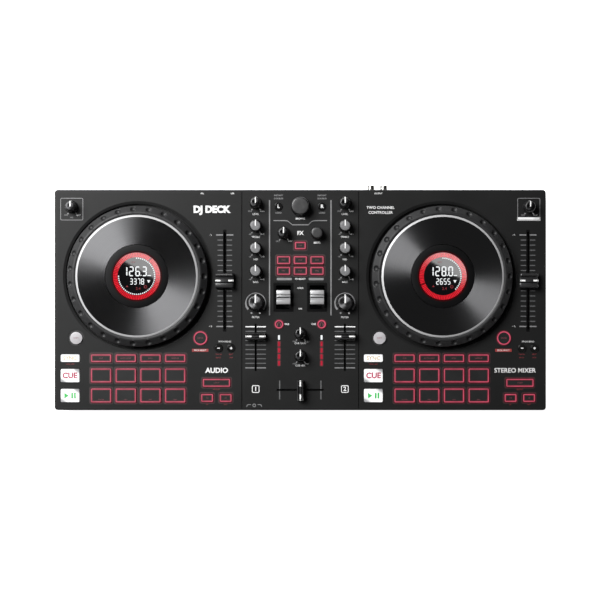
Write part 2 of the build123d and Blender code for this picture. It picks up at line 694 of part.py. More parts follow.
def top_case():
    """The upper shell: the panel with its openings, a short skirt, both jog wells and the bosses."""
    shell = Pos(0, 0, PARTING_Z) * extrude(case_outline(), SKIRT_H)
    shell = fillet(shell.faces().sort_by(Axis.Z)[-1].edges(), TOP_EDGE_R)
    shell -= Pos(0, 0, PARTING_Z) * extrude(case_outline(WALL_T), SKIRT_H - TOP_T)
    lip_out = WALL_T + LOOSE_FIT
    lip = case_outline(lip_out) - case_outline(lip_out + LIP_T)
    lip_root = Pos(0, 0, PARTING_Z) * extrude(case_outline(WALL_T) - case_outline(lip_out + LIP_T), LIP_H)
    shell += lip_root + Pos(0, 0, PARTING_Z - LIP_H) * extrude(lip, LIP_H)
    well_under = WELL_FLOOR_Z - WELL_FLOOR_T
    for x in DECK_X.values():
        shell += disc(x, JOG_Y, WELL_R + WELL_WALL_T, well_under, UNDER_TOP_Z)
    for x, y in SCREWS:
        shell += disc(x, y, BOSS_R, BOSS_JOIN_Z, UNDER_TOP_Z)
    for x, y in pillar_places():
        shell += disc(x, y, PILLAR_R, BOARD_TOP_Z, UNDER_TOP_Z)
    for x in PADDLES.values():
        for ear in paddle_ears(x):
            shell += ear
    cuts = [jog_well(x) for x in DECK_X.values()]
    cuts += [disc(x, JOG_Y, POST_R, well_under, WELL_FLOOR_Z) for x in DECK_X.values()]
    dish_z = PANEL_Z - SHIFT_DISH_DEPTH
    cuts += [disc(x + SHIFT_X, SHIFT_Y, SHIFT_DISH_R, dish_z, PANEL_Z) for x in DECK_X.values()]
    cuts += [disc(x, y, SCREW_R, BOSS_JOIN_Z, BOSS_JOIN_Z + SCREW_L) for x, y in SCREWS]
    cuts.append(block(0, 0, MIXER_W, CASE_D - 2 * MIXER_EDGE, PANEL_Z - MIXER_INLAY_T, PANEL_Z))
    holes = control_openings(-CASE_W, CASE_W)
    cuts += [Pos(0, 0, UNDER_TOP_Z) * extrude(hole, TOP_T) for hole in holes]
    return shell - cuts


def mixer_panel():
    """The printed inlay over the middle of the panel, with a shallow frame round each paddle."""
    outline = Rectangle(MIXER_W - 2 * MIXER_SEAM_W, CASE_D - 2 * MIXER_EDGE - LOOSE_FIT)
    plate = Pos(0, 0, PANEL_Z - MIXER_INLAY_T) * extrude(outline, MIXER_INLAY_T)
    holes = control_openings(-MIXER_W / 2, MIXER_W / 2)
    cuts = [Pos(0, 0, PANEL_Z - MIXER_INLAY_T) * extrude(hole, MIXER_INLAY_T) for hole in holes]
    frame_w, frame_l = PADDLE_WELL_W + 2 * PADDLE_FRAME, PADDLE_WELL_L + 2 * PADDLE_FRAME
    frame_z = PANEL_Z - PADDLE_FRAME_DEPTH
    cuts += [block(x, PADDLE_Y, frame_w, frame_l, frame_z, PANEL_Z) for x in PADDLES.values()]
    return plate - cuts


def bottom_case():
    """The lower shell: a tray with socket openings, screw posts, foot recesses and board supports."""
    height = PARTING_Z - FOOT_PROUD
    tray = Pos(0, 0, FOOT_PROUD) * extrude(case_outline(), height)
    tray = chamfer(tray.faces().sort_by(Axis.Z)[0].edges(), BASE_CHAMFER)
    tray -= Pos(0, 0, FLOOR_Z) * extrude(case_outline(WALL_T), height)
    chamfer_fill = case_outline(WALL_T) - case_outline(WALL_T + BASE_CHAMFER)
    tray += Pos(0, 0, FLOOR_Z) * extrude(chamfer_fill, BASE_CHAMFER)
    for x, y in SCREWS:
        tray += disc(x, y, BOSS_R + 1, FLOOR_Z, BOSS_JOIN_Z)
    for x, y in socket_supports():
        tray += disc(x, y, PILLAR_R, FLOOR_Z, SOCKET_BOARD_TOP_Z - BOARD_T)
    head_z = FOOT_PROUD + SCREW_RECESS
    cuts = [disc(x, y, SCREW_RECESS_R, FOOT_PROUD, head_z) for x, y in SCREWS]
    cuts += [disc(x, y, SCREW_R + SCREW_HOLE_GAP, head_z, BOSS_JOIN_Z) for x, y in SCREWS]
    cuts += [disc(x, y, FOOT_R, FOOT_PROUD, FOOT_T) for x, y in FEET]
    cuts += socket_openings()
    return tray - cuts


# ------------------------------------------------------------------ sockets
REAR_INSIDE = REAR - WALL_T
FRONT_INSIDE = FRONT + WALL_T
OUTPUT_X = sum(PHONO_X) / 2


def socket_openings():
    """The openings in the rear and front walls, one for each socket."""
    jack_window = JACK_BORE_R + JACK_WINDOW_GAP
    small_window = SMALL_JACK_BORE_R + JACK_WINDOW_GAP
    usb = Pos(USB_X, REAR_INSIDE + WALL_T / 2, SOCKET_Z) * Box(USB_W + 1.6, WALL_T, USB_H + 1.6)
    block_w, _, block_h = PHONO_BLOCK
    output = Pos(OUTPUT_X, REAR_INSIDE + WALL_T / 2, SOCKET_Z) * Box(block_w, WALL_T, block_h)
    return [
        rod_y(MIC_X, SOCKET_Z, jack_window, REAR_INSIDE, REAR),
        rod_y(PHONES_X, SOCKET_Z, jack_window, FRONT, FRONT_INSIDE),
        rod_y(SMALL_PHONES_X, SOCKET_Z, small_window, FRONT, FRONT_INSIDE),
        usb,
        output,
    ]


def jack(x, wall, inward, size, bore_r, bore_l):
    """A jack socket: a block against a wall's inner face, with a blind bore for the plug."""
    w, length, h = size
    body = Pos(x, wall + inward * length / 2, SOCKET_Z) * Box(w, length, h)
    ends = sorted((wall, wall + inward * bore_l))
    return body - rod_y(x, SOCKET_Z, bore_r, *ends)


def usb_port():
    """The square data socket: a metal shell with a tongue at the back of its mouth."""
    w, h = USB_W + 2 * USB_SHELL_T, USB_H + 2 * USB_SHELL_T
    depth = USB_DEPTH + USB_SHELL_T
    shell = Pos(USB_X, REAR_INSIDE - depth / 2, SOCKET_Z) * Box(w, depth, h)
    mouth = Pos(USB_X, REAR_INSIDE - USB_DEPTH / 2, SOCKET_Z) * Box(USB_W, USB_DEPTH, USB_H)
    tongue_y = REAR_INSIDE - USB_DEPTH + USB_TONGUE_L / 2
    tongue = Pos(USB_X, tongue_y, SOCKET_Z) * Box(USB_TONGUE_W, USB_TONGUE_L, USB_TONGUE_H)
    return [shell - mouth, tongue]


def output_jacks():
    """Two phono sockets: one moulded block through the wall, two plated shells, two cores."""
    w, length, h = PHONO_BLOCK
    body = Pos(OUTPUT_X, REAR - length / 2, SOCKET_Z) * Box(w, length, h)
    root, tip = REAR - PHONO_CORE_ROOT, REAR + PHONO_PROUD
    pieces = []
    for x in PHONO_X:
        shell = rod_y(x, SOCKET_Z, PHONO_SHELL_R, REAR, tip) - rod_y(x, SOCKET_Z, PHONO_CORE_R, REAR, tip)
        core = rod_y(x, SOCKET_Z, PHONO_CORE_R, root, tip - PHONO_CORE_SETBACK)
        pieces += [shell, core - rod_y(x, SOCKET_Z, PHONO_BORE_R, root, tip)]
        body -= rod_y(x, SOCKET_Z, PHONO_CORE_R, root, REAR)
    return [body] + pieces


# ------------------------------------------------------------------ circuit boards
MIXER_BOARD_W = 111.0
MIXER_BOARD_REAR, MIXER_BOARD_FRONT = REAR - 8.5, FRONT + 14.5
DECK_BOARD_LEFT, DECK_BOARD_RIGHT = -87.0, 106.0
DECK_BOARD_REAR, DECK_BOARD_FRONT = FRONT + 90.0, FRONT + 5.5
DECK_ARM_W = 22.0
GAIN_BOARD_W, GAIN_BOARD_D = 17.0, 22.0
SOCKET_BOARDS = [
    ((MIC_X + USB_X) / 2, REAR_INSIDE - 16, 47.0, 30.0),
    (OUTPUT_X, REAR_INSIDE - 16, 36.0, 30.0),
    ((PHONES_X + SMALL_PHONES_X) / 2, FRONT_INSIDE + 16, 28.0, 30.0),
]


def pillar_places():
    """Where the panel's pillars hold the boards."""
    places = list(MIXER_PILLARS)
    for x in DECK_X.values():
        places += [(x + dx, y) for dx, y in DECK_PILLARS]
    return places


def socket_supports():
    """Where the tray's supports hold the socket boards."""
    return [(x + side * (w / 2 - 4), y) for x, y, w, _ in SOCKET_BOARDS for side in (-1, 1)]


def board(sketch):
    """A board under the panel, cleared round every screw boss."""
    for x, y in SCREWS:
        sketch -= flat(x, y, Circle(BOSS_R + TOUCH_GAP))
    return Pos(0, 0, BOARD_TOP_Z - BOARD_T) * extrude(sketch, BOARD_T)


def span(x0, x1, y0, y1):
    """A rectangle between two places along X and two along Y."""
    return flat((x0 + x1) / 2, (y0 + y1) / 2, Rectangle(x1 - x0, y1 - y0))


def circuit_boards():
    """The mixer, deck, gain and socket boards, and a switch under each push button."""
    mixer = span(-MIXER_BOARD_W / 2, MIXER_BOARD_W / 2, MIXER_BOARD_FRONT, MIXER_BOARD_REAR)
    for x in PADDLES.values():
        cut_w = PADDLE_WELL_W + 2 * EAR_T + 2 * TOUCH_GAP
        mixer -= flat(x, PADDLE_Y, Rectangle(cut_w, PADDLE_WELL_L))
    pieces = [board(mixer)]
    for x in DECK_X.values():
        left, right = x + DECK_BOARD_LEFT, x + DECK_BOARD_RIGHT
        arm_rear = PITCH_Y + PITCH_TRAVEL / 2 + CARRIAGE_L + TRACK_END
        deck = span(left, right, DECK_BOARD_FRONT, DECK_BOARD_REAR)
        deck += span(right - DECK_ARM_W, right, DECK_BOARD_FRONT, arm_rear)
        deck -= flat(x, JOG_Y, Circle(WELL_R + WELL_WALL_T + 2 * TOUCH_GAP))
        pieces.append(board(deck))
    for name in ("mic_gain_knob", "master_gain_knob"):
        gain = KNOBS[name]
        pieces.append(board(flat(gain.x, gain.y, Rectangle(GAIN_BOARD_W, GAIN_BOARD_D))))
    for x, y, w, d in SOCKET_BOARDS:
        pieces.append(block(x, y, w, d, SOCKET_BOARD_TOP_Z - BOARD_T, SOCKET_BOARD_TOP_Z))
    for group in BUTTONS.values():
        for b in group:
            pieces.append(block(b.x, b.y, SWITCH_SIDE, SWITCH_SIDE, BOARD_TOP_Z, BOARD_TOP_Z + SWITCH_H))
    return pieces


# ------------------------------------------------------------------ feet, screws and lights
def case_screw(x, y):
    """A pan-head screw, up through the tray's post into the panel's boss."""
    seat = FOOT_PROUD + SCREW_RECESS
    return disc(x, y, SCREW_HEAD_R, seat - SCREW_HEAD_T, seat) + disc(x, y, SCREW_R, seat, seat + SCREW_L)


def meter_light(x, y):
    """One clear light guide of a level meter, from above the board to just proud of the panel."""
    return block(x, y, METER_W, METER_L, BOARD_TOP_Z + SWITCH_H, PANEL_Z + METER_PROUD)


# ------------------------------------------------------------------ writing the pieces
ORIGIN_SHIFT_Y = -PHONO_PROUD / 2


def write(node, pieces):
    """Writes one node, as separate solids, in the frame whose origin is under the footprint's middle."""
    solids = [solid for piece in pieces for solid in (Pos(0, ORIGIN_SHIFT_Y, 0) * piece).solids()]
    shape = solids[0] if len(solids) == 1 else Compound(children=solids)
    shape.label = node
    export_step(shape, f"parts/{node}.step")


def main():
    write("top_case", [top_case()])
    write("bottom_case", [bottom_case()])
    write("mixer_panel", [mixer_panel()])
    write("circuit_boards", circuit_boards())
    write("rotary_pots", [potentiometer(knob) for knob in KNOBS.values()])
    write("fader_tracks", [fader_track(fader) for fader in FADERS.values()])
    write("jog_posts", [piece for x in DECK_X.values() for piece in jog_post(x)])
    write("jog_displays", [piece for x in DECK_X.values() for piece in jog_display(x)])
    for side, x in DECK_X.items():
        write(f"{side}_jog_platter", [jog_platter(x)])
        write(f"{side}_jog_plate", [jog_plate(x)])
    for node, group in BUTTONS.items():
        write(node, [push_button(button) for button in group])
    for node, knob in KNOBS.items():
        write(node, [browse_cap(knob)] if node == "browse_knob" else knob_pieces(knob))
    write("browse_shaft", [browse_shaft(KNOBS["browse_knob"])])
    for node, fader in FADERS.items():
        write(node, fader_pieces(fader))
    for node, x in PADDLES.items():
        write(node, paddle_pieces(x))
    write("level_meters", [meter_light(x, y) for x, y in METERS])
    write("output_jacks", output_jacks())
    write("mic_jack", [jack(MIC_X, REAR_INSIDE, -1, JACK_BODY, JACK_BORE_R, JACK_BORE_L)])
    write("usb_port", usb_port())
    write("headphone_jacks", [
        jack(PHONES_X, FRONT_INSIDE, 1, JACK_BODY, JACK_BORE_R, JACK_BORE_L),
        jack(SMALL_PHONES_X, FRONT_INSIDE, 1, SMALL_JACK_BODY, SMALL_JACK_BORE_R, SMALL_JACK_BORE_L),
    ])
    write("feet", [disc(x, y, FOOT_R, 0, FOOT_T) for x, y in FEET])
    write("case_screws", [case_screw(x, y) for x, y in SCREWS])


main()
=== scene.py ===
from math import atan2, cos, degrees, hypot, pi, radians, sin

import bmesh
import bpy
from mathutils import Matrix, Vector


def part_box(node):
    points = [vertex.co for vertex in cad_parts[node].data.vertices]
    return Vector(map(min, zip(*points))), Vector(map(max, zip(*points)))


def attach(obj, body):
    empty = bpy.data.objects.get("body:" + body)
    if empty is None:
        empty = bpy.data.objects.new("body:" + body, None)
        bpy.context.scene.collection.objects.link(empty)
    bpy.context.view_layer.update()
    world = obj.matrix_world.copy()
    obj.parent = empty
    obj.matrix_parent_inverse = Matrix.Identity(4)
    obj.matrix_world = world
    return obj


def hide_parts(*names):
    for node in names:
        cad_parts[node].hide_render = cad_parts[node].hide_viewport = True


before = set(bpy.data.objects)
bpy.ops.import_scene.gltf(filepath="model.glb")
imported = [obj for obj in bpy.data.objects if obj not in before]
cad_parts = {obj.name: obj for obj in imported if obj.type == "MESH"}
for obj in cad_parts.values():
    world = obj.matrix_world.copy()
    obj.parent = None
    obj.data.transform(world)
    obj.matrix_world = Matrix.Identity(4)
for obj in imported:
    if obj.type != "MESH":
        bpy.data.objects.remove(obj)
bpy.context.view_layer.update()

MM = 0.001

# ---------------------------------------------------------------- bottom case, feet and screws
# The lower shell is a black moulded ABS tray with a fine spark-eroded texture on its outside.
# Four rubber feet are pressed into shallow recesses, and ten blackened screws come up through
# posts in the tray and pull the top case down onto it.


def add(made, kind, sockets):
    """Adds a node to a finish; each socket takes a plain value or another node's output."""
    node = made.node_tree.nodes.new("ShaderNode" + kind)
    set_sockets(made, node, sockets)
    return node


def set_sockets(made, node, sockets):
    """Fills a node's sockets with plain values or with links."""
    for name, value in sockets.items():
        if isinstance(value, bpy.types.NodeSocket):
            made.node_tree.links.new(value, node.inputs[name])
        else:
            node.inputs[name].default_value = value


def ramp(made, share, low, low_color, high, high_color):
    """A run of colour between two places of a value."""
    node = add(made, "ValToRGB", {"Fac": share})
    for stop, place, color in zip(node.color_ramp.elements, (low, high), (low_color, high_color)):
        stop.position, stop.color = place, (*color, 1)
    return node.outputs["Color"]


def surface(name, color, roughness, metallic=0.0, shade=0.12, patch=30, grain=0.5, depth=0.02,
            stretch=(1, 1, 1)):
    """A finish with patchy colour, uneven gloss and a fine grain; patch, grain and depth in mm."""
    made = bpy.data.materials.new(name)
    made.use_nodes = True
    place = add(made, "TexCoord", {}).outputs["Object"]
    patches = add(made, "TexNoise", {"Vector": place, "Scale": 1 / (patch * MM), "Detail": 4}).outputs["Fac"]
    tones = ramp(made, patches, 0.3, [c * (1 - shade) for c in color], 0.7, [c * (1 + shade) for c in color])
    gloss = add(made, "MapRange", {"Value": patches, "To Min": roughness * 0.88, "To Max": roughness * 1.12})
    along = add(made, "Mapping", {"Vector": place, "Scale": stretch}).outputs["Vector"]
    grains = add(made, "TexNoise", {"Vector": along, "Scale": 1 / (grain * MM), "Detail": 3})
    bump = add(made, "Bump", {"Height": grains.outputs["Fac"], "Distance": depth * MM})
    set_sockets(made, made.node_tree.nodes["Principled BSDF"], {
        "Metallic": metallic, "Base Color": tones, "Roughness": gloss.outputs["Result"],
        "Normal": bump.outputs["Normal"]})
    return made


def dress(made, *nodes):
    """Gives CAD nodes a finish in place of the one that they were packed with."""
    for node in nodes:
        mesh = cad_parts[node].data
        for slot in range(len(mesh.materials)):
            mesh.materials[slot] = made


dress(surface("spark_eroded_black", (0.012, 0.012, 0.013), 0.55, grain=0.35, depth=0.05), "bottom_case")
dress(surface("foot_rubber", (0.010, 0.010, 0.010), 0.8, grain=0.6, depth=0.08), "feet")
dress(surface("blackened_screw", (0.06, 0.06, 0.065), 0.35, metallic=1.0, grain=0.8), "case_screws")

# ---------------------------------------------------------------- top case and mixer plate
# The top case is one dark grey moulding with a satin, very faintly brushed skin. The mixer plate
# is a separate moulded sheet let into its middle, so that a thin seam shows on either side.

PANEL_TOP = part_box("mixer_panel")[1].z
PANEL_GREY = (0.0060, 0.0061, 0.0061)
SKIN_GLOSS = 0.20


def dull(made, gloss):
    """Lowers how much light a finish mirrors; a bare moulding has 0.5."""
    set_sockets(made, made.node_tree.nodes["Principled BSDF"], {"Specular IOR Level": gloss})
    return made


def skin(name, patch, stretch):
    """A dull textured plastic, less shiny than a bare moulding."""
    made = surface(name, PANEL_GREY, 0.47, patch=patch, grain=0.3, depth=0.012, stretch=stretch)
    return dull(made, SKIN_GLOSS)


dress(skin("panel_skin", 60, (0.12, 1, 1)), "top_case")
dress(skin("mixer_skin", 50, (1, 1, 1)), "mixer_panel")

# ---------------------------------------------------------------- sockets
# The phono sockets are nickel sleeves pressed over the black cores of one moulded block. The
# microphone and headphone sockets sit behind the case wall, each with a plated collar in it.

SOCKET_Z = (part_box("mic_jack")[0].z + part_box("mic_jack")[1].z) / 2
COLLAR_T, COLLAR_W, COLLAR_DEEP = 1.2 * MM, 1.2 * MM, 1.6 * MM


def circle(x, y, radius, count=48):
    """The corners of a round outline."""
    turns = [2 * pi * i / count for i in range(count)]
    return [(x + radius * cos(t), y + radius * sin(t)) for t in turns]


def wrap(bm, loops, closed=False):
    """Faces from each loop of corners to the next; closed goes from the last to the first as well."""
    for a, b in zip(loops, loops[1:] + (loops[:1] if closed else [])):
        for i in range(len(a)):
            j = (i + 1) % len(a)
            bm.faces.new((a[i], a[j], b[j], b[i]))


def tube(bm, outer, inner, low, high):
    """A closed ring between two outlines with as many corners as each other."""
    wrap(bm, [[bm.verts.new((x, y, z)) for x, y in line] for line, z in
              ((outer, low), (outer, high), (inner, high), (inner, low))], closed=True)


def hoop(bm, x, y, outer, inner, low, high, count=48):
    """A closed round ring."""
    tube(bm, circle(x, y, outer, count), circle(x, y, inner, count), low, high)


def fit(name, bm, made, body, replaced=(), smooth=32):
    """Makes a finished piece of a built mesh: it takes a finish and rides on a body."""
    bmesh.ops.recalc_face_normals(bm, faces=bm.faces)
    mesh = bpy.data.meshes.new(name)
    bm.to_mesh(mesh)
    bm.free()
    mesh.shade_smooth()
    mesh.set_sharp_from_angle(angle=radians(smooth))
    mesh.materials.append(made)
    piece = bpy.data.objects.new(name, mesh)
    bpy.context.scene.collection.objects.link(piece)
    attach(piece, body)
    if replaced:
        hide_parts(*replaced)
    return piece


def tops(node, above):
    """The box of each separate solid of a node, of what lies above a height, from left to right."""
    bm = bmesh.new()
    bm.from_mesh(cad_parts[node].data)
    bmesh.ops.remove_doubles(bm, verts=bm.verts, dist=0.001 * MM)
    waiting, found = set(bm.verts), []
    while waiting:
        island, front = [], [waiting.pop()]
        while front:
            vert = front.pop()
            island.append(vert.co.copy())
            for edge in vert.link_edges:
                other = edge.other_vert(vert)
                if other in waiting:
                    waiting.remove(other)
                    front.append(other)
        seen = [p for p in island if p.z > above]
        if seen:
            low = Vector([min(p[i] for p in seen) for i in range(3)])
            high = Vector([max(p[i] for p in seen) for i in range(3)])
            found.append((low, high))
    bm.free()
    return sorted(found, key=lambda box: (round(box[0].x, 4), box[0].y))


NICKEL = surface("nickel_plate", (0.40, 0.395, 0.38), 0.26, metallic=1.0, patch=4, grain=0.3, depth=0.004)
SOCKET_BLACK = surface("socket_black", (0.012, 0.012, 0.012), 0.35, grain=0.4)
dress(NICKEL, "usb_port")
dress(SOCKET_BLACK, "output_jacks", "mic_jack", "headphone_jacks")


def spread(box):
    """The middle, width and depth of a box, seen from above."""
    low, high = box
    return (low.x + high.x) / 2, (low.y + high.y) / 2, high.x - low.x, high.y - low.y


def stand_in_wall(bm, x, y, outwards):
    """Turns a piece that was built on its back to face out of the rear (1) or the front (-1)."""
    turned_up = Matrix.Translation((x, y, SOCKET_Z)) @ Matrix.Rotation(radians(-90 * outwards), 4, "X")
    bmesh.ops.transform(bm, matrix=turned_up, verts=bm.verts)


def collar(name, x, y, outwards, hole):
    """A plated ring in the case wall, round a socket's mouth."""
    bm = bmesh.new()
    hoop(bm, 0, 0, hole + COLLAR_W, hole, 0, COLLAR_T)
    stand_in_wall(bm, x, y, outwards)
    fit(name, bm, NICKEL, "chassis")


case_low, case_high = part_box("top_case")
collar("mic_collar", spread(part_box("mic_jack"))[0], case_high.y - COLLAR_DEEP, 1, 3.3 * MM)
for phones in tops("headphone_jacks", 0):
    x, _, phones_size, _ = spread(phones)
    small = phones_size < 10 * MM
    collar("small_phones_collar" if small else "phones_collar", x, case_low.y + COLLAR_DEEP, -1,
           (1.9 if small else 3.3) * MM)

SLEEVE_R, SLEEVE_BORE_R, SLEEVE_APART = 4.15 * MM, 3.5 * MM, 14.2 * MM
PLATING, LIP_DEEP, LIP_PROUD = 0.1 * MM, 0.6 * MM, 0.01 * MM
jacks_x, jacks_end = spread(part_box("output_jacks"))[0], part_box("output_jacks")[1].y
for side, way in (("right", -1), ("left", 1)):
    bm = bmesh.new()
    hoop(bm, 0, 0, SLEEVE_R + PLATING, SLEEVE_R, case_high.y - jacks_end, 0)
    hoop(bm, 0, 0, SLEEVE_R, SLEEVE_BORE_R, -LIP_DEEP, LIP_PROUD)
    stand_in_wall(bm, jacks_x + way * SLEEVE_APART / 2, jacks_end, 1)
    fit(f"{side}_output_sleeve", bm, NICKEL, "chassis")

# ---------------------------------------------------------------- inside the case
# Green boards hang from pillars under the panel and carry the switches, the potentiometers and
# the slide tracks. They show only through the slots and when the case is opened.

dress(surface("solder_mask", (0.008, 0.055, 0.022), 0.3, patch=12, grain=0.8), "circuit_boards")
dress(surface("pot_housing", (0.02, 0.02, 0.022), 0.4), "rotary_pots")
dress(surface("track_steel", (0.05, 0.05, 0.05), 0.4, metallic=1.0, stretch=(1, 0.05, 1)), "fader_tracks")
dress(surface("bearing_acetal", (0.45, 0.44, 0.41), 0.45), "jog_posts")
dress(surface("shaft_steel", (0.5, 0.5, 0.5), 0.3, metallic=1.0, grain=0.2), "browse_shaft")

# ---------------------------------------------------------------- jog wheels
# Each wheel is a black moulding: a hub, a web and a rim with a narrow outer edge, a slope with 27
# finger dimples and a flat inner band. Its touch plate is black anodised aluminium, faced on a
# lathe so that it keeps fine rings, inside a satin silver ring.

DIMPLES, DIMPLE_R, BALL_R = 27, 3.3 * MM, 3.6 * MM
SLOPE_STEPS, CORNERS_PER_DIMPLE, PLATE_CORNERS = 16, 36, 288
SLOPE_W, EDGE_W = 6.6 * MM, 0.7 * MM
SHOULDER_RISE = 10.4 * MM
HUB_R, BUSH_R, SKIRT_T = 27.5 * MM, 23.6 * MM, 4.5 * MM
RING_W = 2.2 * MM
PLATTER_BLACK = dull(surface("platter_black", (0.010, 0.010, 0.0105), 0.52, patch=20, grain=0.3), 0.28)
RING_SILVER = surface("ring_silver", (0.36, 0.36, 0.364), 0.42, metallic=0.10, patch=15, shade=0.05,
                      grain=0.2, depth=0.004)


def rings(bm, x, y, profile, count):
    """A lathed solid of (radius, height) corners, none of them on the axis."""
    loops = [[bm.verts.new((px, py, z)) for px, py in circle(x, y, r, count)] for r, z in profile]
    wrap(bm, loops, closed=True)


def platter(name, x, y, low, high, seat, plate_r, hole_r, body):
    """The whole wheel as one lathed mesh whose slope is pressed in at each dimple."""
    outer = (high.x - low.x) / 2
    top = high.z
    shoulder = PANEL_TOP + SHOULDER_RISE
    slope_out, slope_in = outer - EDGE_W, outer - SLOPE_W
    span = hypot(slope_out - slope_in, top - shoulder)
    profile = [(plate_r + 0.35 * MM, seat), (plate_r + 0.35 * MM, top - 0.2 * MM), (plate_r + 0.6 * MM, top)]
    for i in range(SLOPE_STEPS + 1):
        share = i / SLOPE_STEPS
        profile.append((slope_in + (slope_out - slope_in) * share, top + (shoulder - top) * share))
    web_under, hub_top = seat - 4.9 * MM, seat - 1.9 * MM
    profile += [(outer - 0.25 * MM, shoulder - 0.2 * MM), (outer, shoulder - 0.7 * MM), (outer, low.z),
                (outer - SKIRT_T, low.z), (outer - SKIRT_T, web_under), (HUB_R, web_under), (HUB_R, low.z),
                (BUSH_R, low.z), (BUSH_R, hub_top), (hole_r, hub_top), (hole_r, seat)]
    bm = bmesh.new()
    rings(bm, x, y, profile, DIMPLES * CORNERS_PER_DIMPLE)
    mid_r, mid_z = (slope_in + slope_out) / 2, (top + shoulder) / 2
    normal_r, normal_z = (top - shoulder) / span, (slope_out - slope_in) / span
    sink_by = (BALL_R**2 - DIMPLE_R**2) ** 0.5
    for vert in bm.verts:
        reach = hypot(vert.co.x - x, vert.co.y - y)
        if not slope_in < reach < slope_out or vert.co.z < shoulder:
            continue
        turn = atan2(vert.co.y - y, vert.co.x - x) % (2 * pi / DIMPLES)
        along = min(turn, 2 * pi / DIMPLES - turn) * mid_r
        up = hypot(reach - mid_r, vert.co.z - mid_z)
        away = hypot(along, up)
        sink = max(0.0, (max(BALL_R**2 - away**2, 0)) ** 0.5 - sink_by)
        out = Vector(((vert.co.x - x) / reach, (vert.co.y - y) / reach))
        vert.co -= Vector((out.x * normal_r, out.y * normal_r, normal_z)) * sink
    fit(f"{name}_wheel", bm, PLATTER_BLACK, body, (name,), smooth=40)


def faced_plate(name, centre):
    """Black anodised metal with lathe rings about a centre."""
    made = bpy.data.materials.new(name)
    made.use_nodes = True
    off = add(made, "VectorMath", {0: add(made, "TexCoord", {}).outputs["Object"], 1: centre})
    off.operation = "SUBTRACT"
    flat = add(made, "VectorMath", {0: off.outputs["Vector"], 1: (1, 1, 0)})
    flat.operation = "MULTIPLY"
    reach = add(made, "VectorMath", {0: flat.outputs["Vector"]})
    reach.operation = "LENGTH"
    cuts = add(made, "TexNoise", {})
    cuts.noise_dimensions = "1D"
    set_sockets(made, cuts, {"W": reach.outputs["Value"], "Scale": 1 / (0.55 * MM), "Detail": 5,
                             "Roughness": 0.7})
    depth = cuts.outputs["Fac"]
    gloss = add(made, "MapRange", {"Value": depth, "To Min": 0.36, "To Max": 0.41})
    grooves = add(made, "Bump", {"Height": depth, "Distance": 0.006 * MM})
    set_sockets(made, made.node_tree.nodes["Principled BSDF"], {
        "Metallic": 1.0, "Anisotropic": 1.0, "Anisotropic Rotation": 0.25, "Tangent": round_about(made),
        "Base Color": ramp(made, depth, 0.3, (0.056, 0.056, 0.058), 0.7, (0.088, 0.088, 0.090)),
        "Roughness": gloss.outputs["Result"], "Normal": grooves.outputs["Normal"]})
    return made


def round_about(made):
    """The direction in which a lathe's rings run."""
    tangent = add(made, "Tangent", {})
    tangent.direction_type, tangent.axis = "RADIAL", "Z"
    return tangent.outputs["Tangent"]


JOGS = {}
for side in ("left", "right"):
    body = f"{side}_jog"
    low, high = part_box(f"{side}_jog_platter")
    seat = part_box(f"{side}_jog_plate")[0].z
    x, y, plate_w, _ = spread(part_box(f"{side}_jog_plate"))
    jog = JOGS[side] = Vector((x, y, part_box(f"{side}_jog_plate")[1].z))
    plate_r, hole_r = plate_w / 2, 34.4 * MM
    platter(f"{side}_jog_platter", jog.x, jog.y, low, high, seat, plate_r, hole_r, body)
    face_r = plate_r - RING_W
    bm = bmesh.new()
    rings(bm, jog.x, jog.y, [(hole_r, seat), (face_r, seat), (face_r, jog.z), (hole_r + 0.2 * MM, jog.z),
                             (hole_r, jog.z - 0.2 * MM)], PLATE_CORNERS)
    fit(f"{side}_touch_plate", bm, faced_plate(f"{side}_faced_plate", jog), body,
        (f"{side}_jog_plate",))
    bm = bmesh.new()
    rings(bm, jog.x, jog.y, [(face_r, seat), (plate_r, seat), (plate_r, jog.z - 1.0 * MM),
                             (plate_r - 0.25 * MM, jog.z - 0.75 * MM), (face_r + 0.35 * MM, jog.z - 0.1 * MM),
                             (face_r, jog.z)], PLATE_CORNERS)
    fit(f"{side}_silver_ring", bm, RING_SILVER, body)

# ---------------------------------------------------------------- displays in the wheels
# A round display fills each wheel's middle: a gloss black screen behind acrylic, with a red ring
# of light in short segments, an arc of white dots, the tempo in large figures and a second row.

DISPLAY_R = 34.0 * MM
RING_OUT, RING_IN, RING_PARTS, LIT_SHARE = 25.4 * MM, 20.6 * MM, 84, 0.66
DOT_R, DOT_SIZE, DOT_PARTS = 19.5 * MM, 1.45 * MM, 56
FILM = 0.06 * MM
UNLIT = 0.12
CAPITAL_SHARE = 0.73
ROUND_CORNERS = 144
STROKES = {  # the strokes of a seven-stroke figure: top, upper sides, middle, lower sides, bottom
    "0": "abcefg", "1": "cf", "2": "acdeg", "3": "acdfg", "4": "bcdf", "5": "abdfg",
    "6": "abdefg", "7": "acf", "8": "abcdefg", "9": "abcdfg", "_": "g",
}


def turned(bm, x, y, profile, count=96):
    """A closed solid of revolution from (radius, height) corners that begin and end on the axis."""
    rims = [[bm.verts.new((px, py, z)) for px, py in circle(x, y, r, count)] for r, z in profile[1:-1]]
    first, last = (bm.verts.new((x, y, profile[end][1])) for end in (0, -1))
    wrap(bm, rims)
    for i in range(count):
        j = (i + 1) % count
        bm.faces.new((first, rims[0][j], rims[0][i]))
        bm.faces.new((last, rims[-1][i], rims[-1][j]))


def capped(bm, loops):
    """A closed solid through loops of corners, with a flat face at either end."""
    wrap(bm, loops)
    bm.faces.new(loops[0][::-1])
    bm.faces.new(loops[-1])


def prism(bm, outline, low, high):
    """A closed flat solid over an outline of (x, y) corners."""
    capped(bm, [[bm.verts.new((x, y, z)) for x, y in outline] for z in (low, high)])


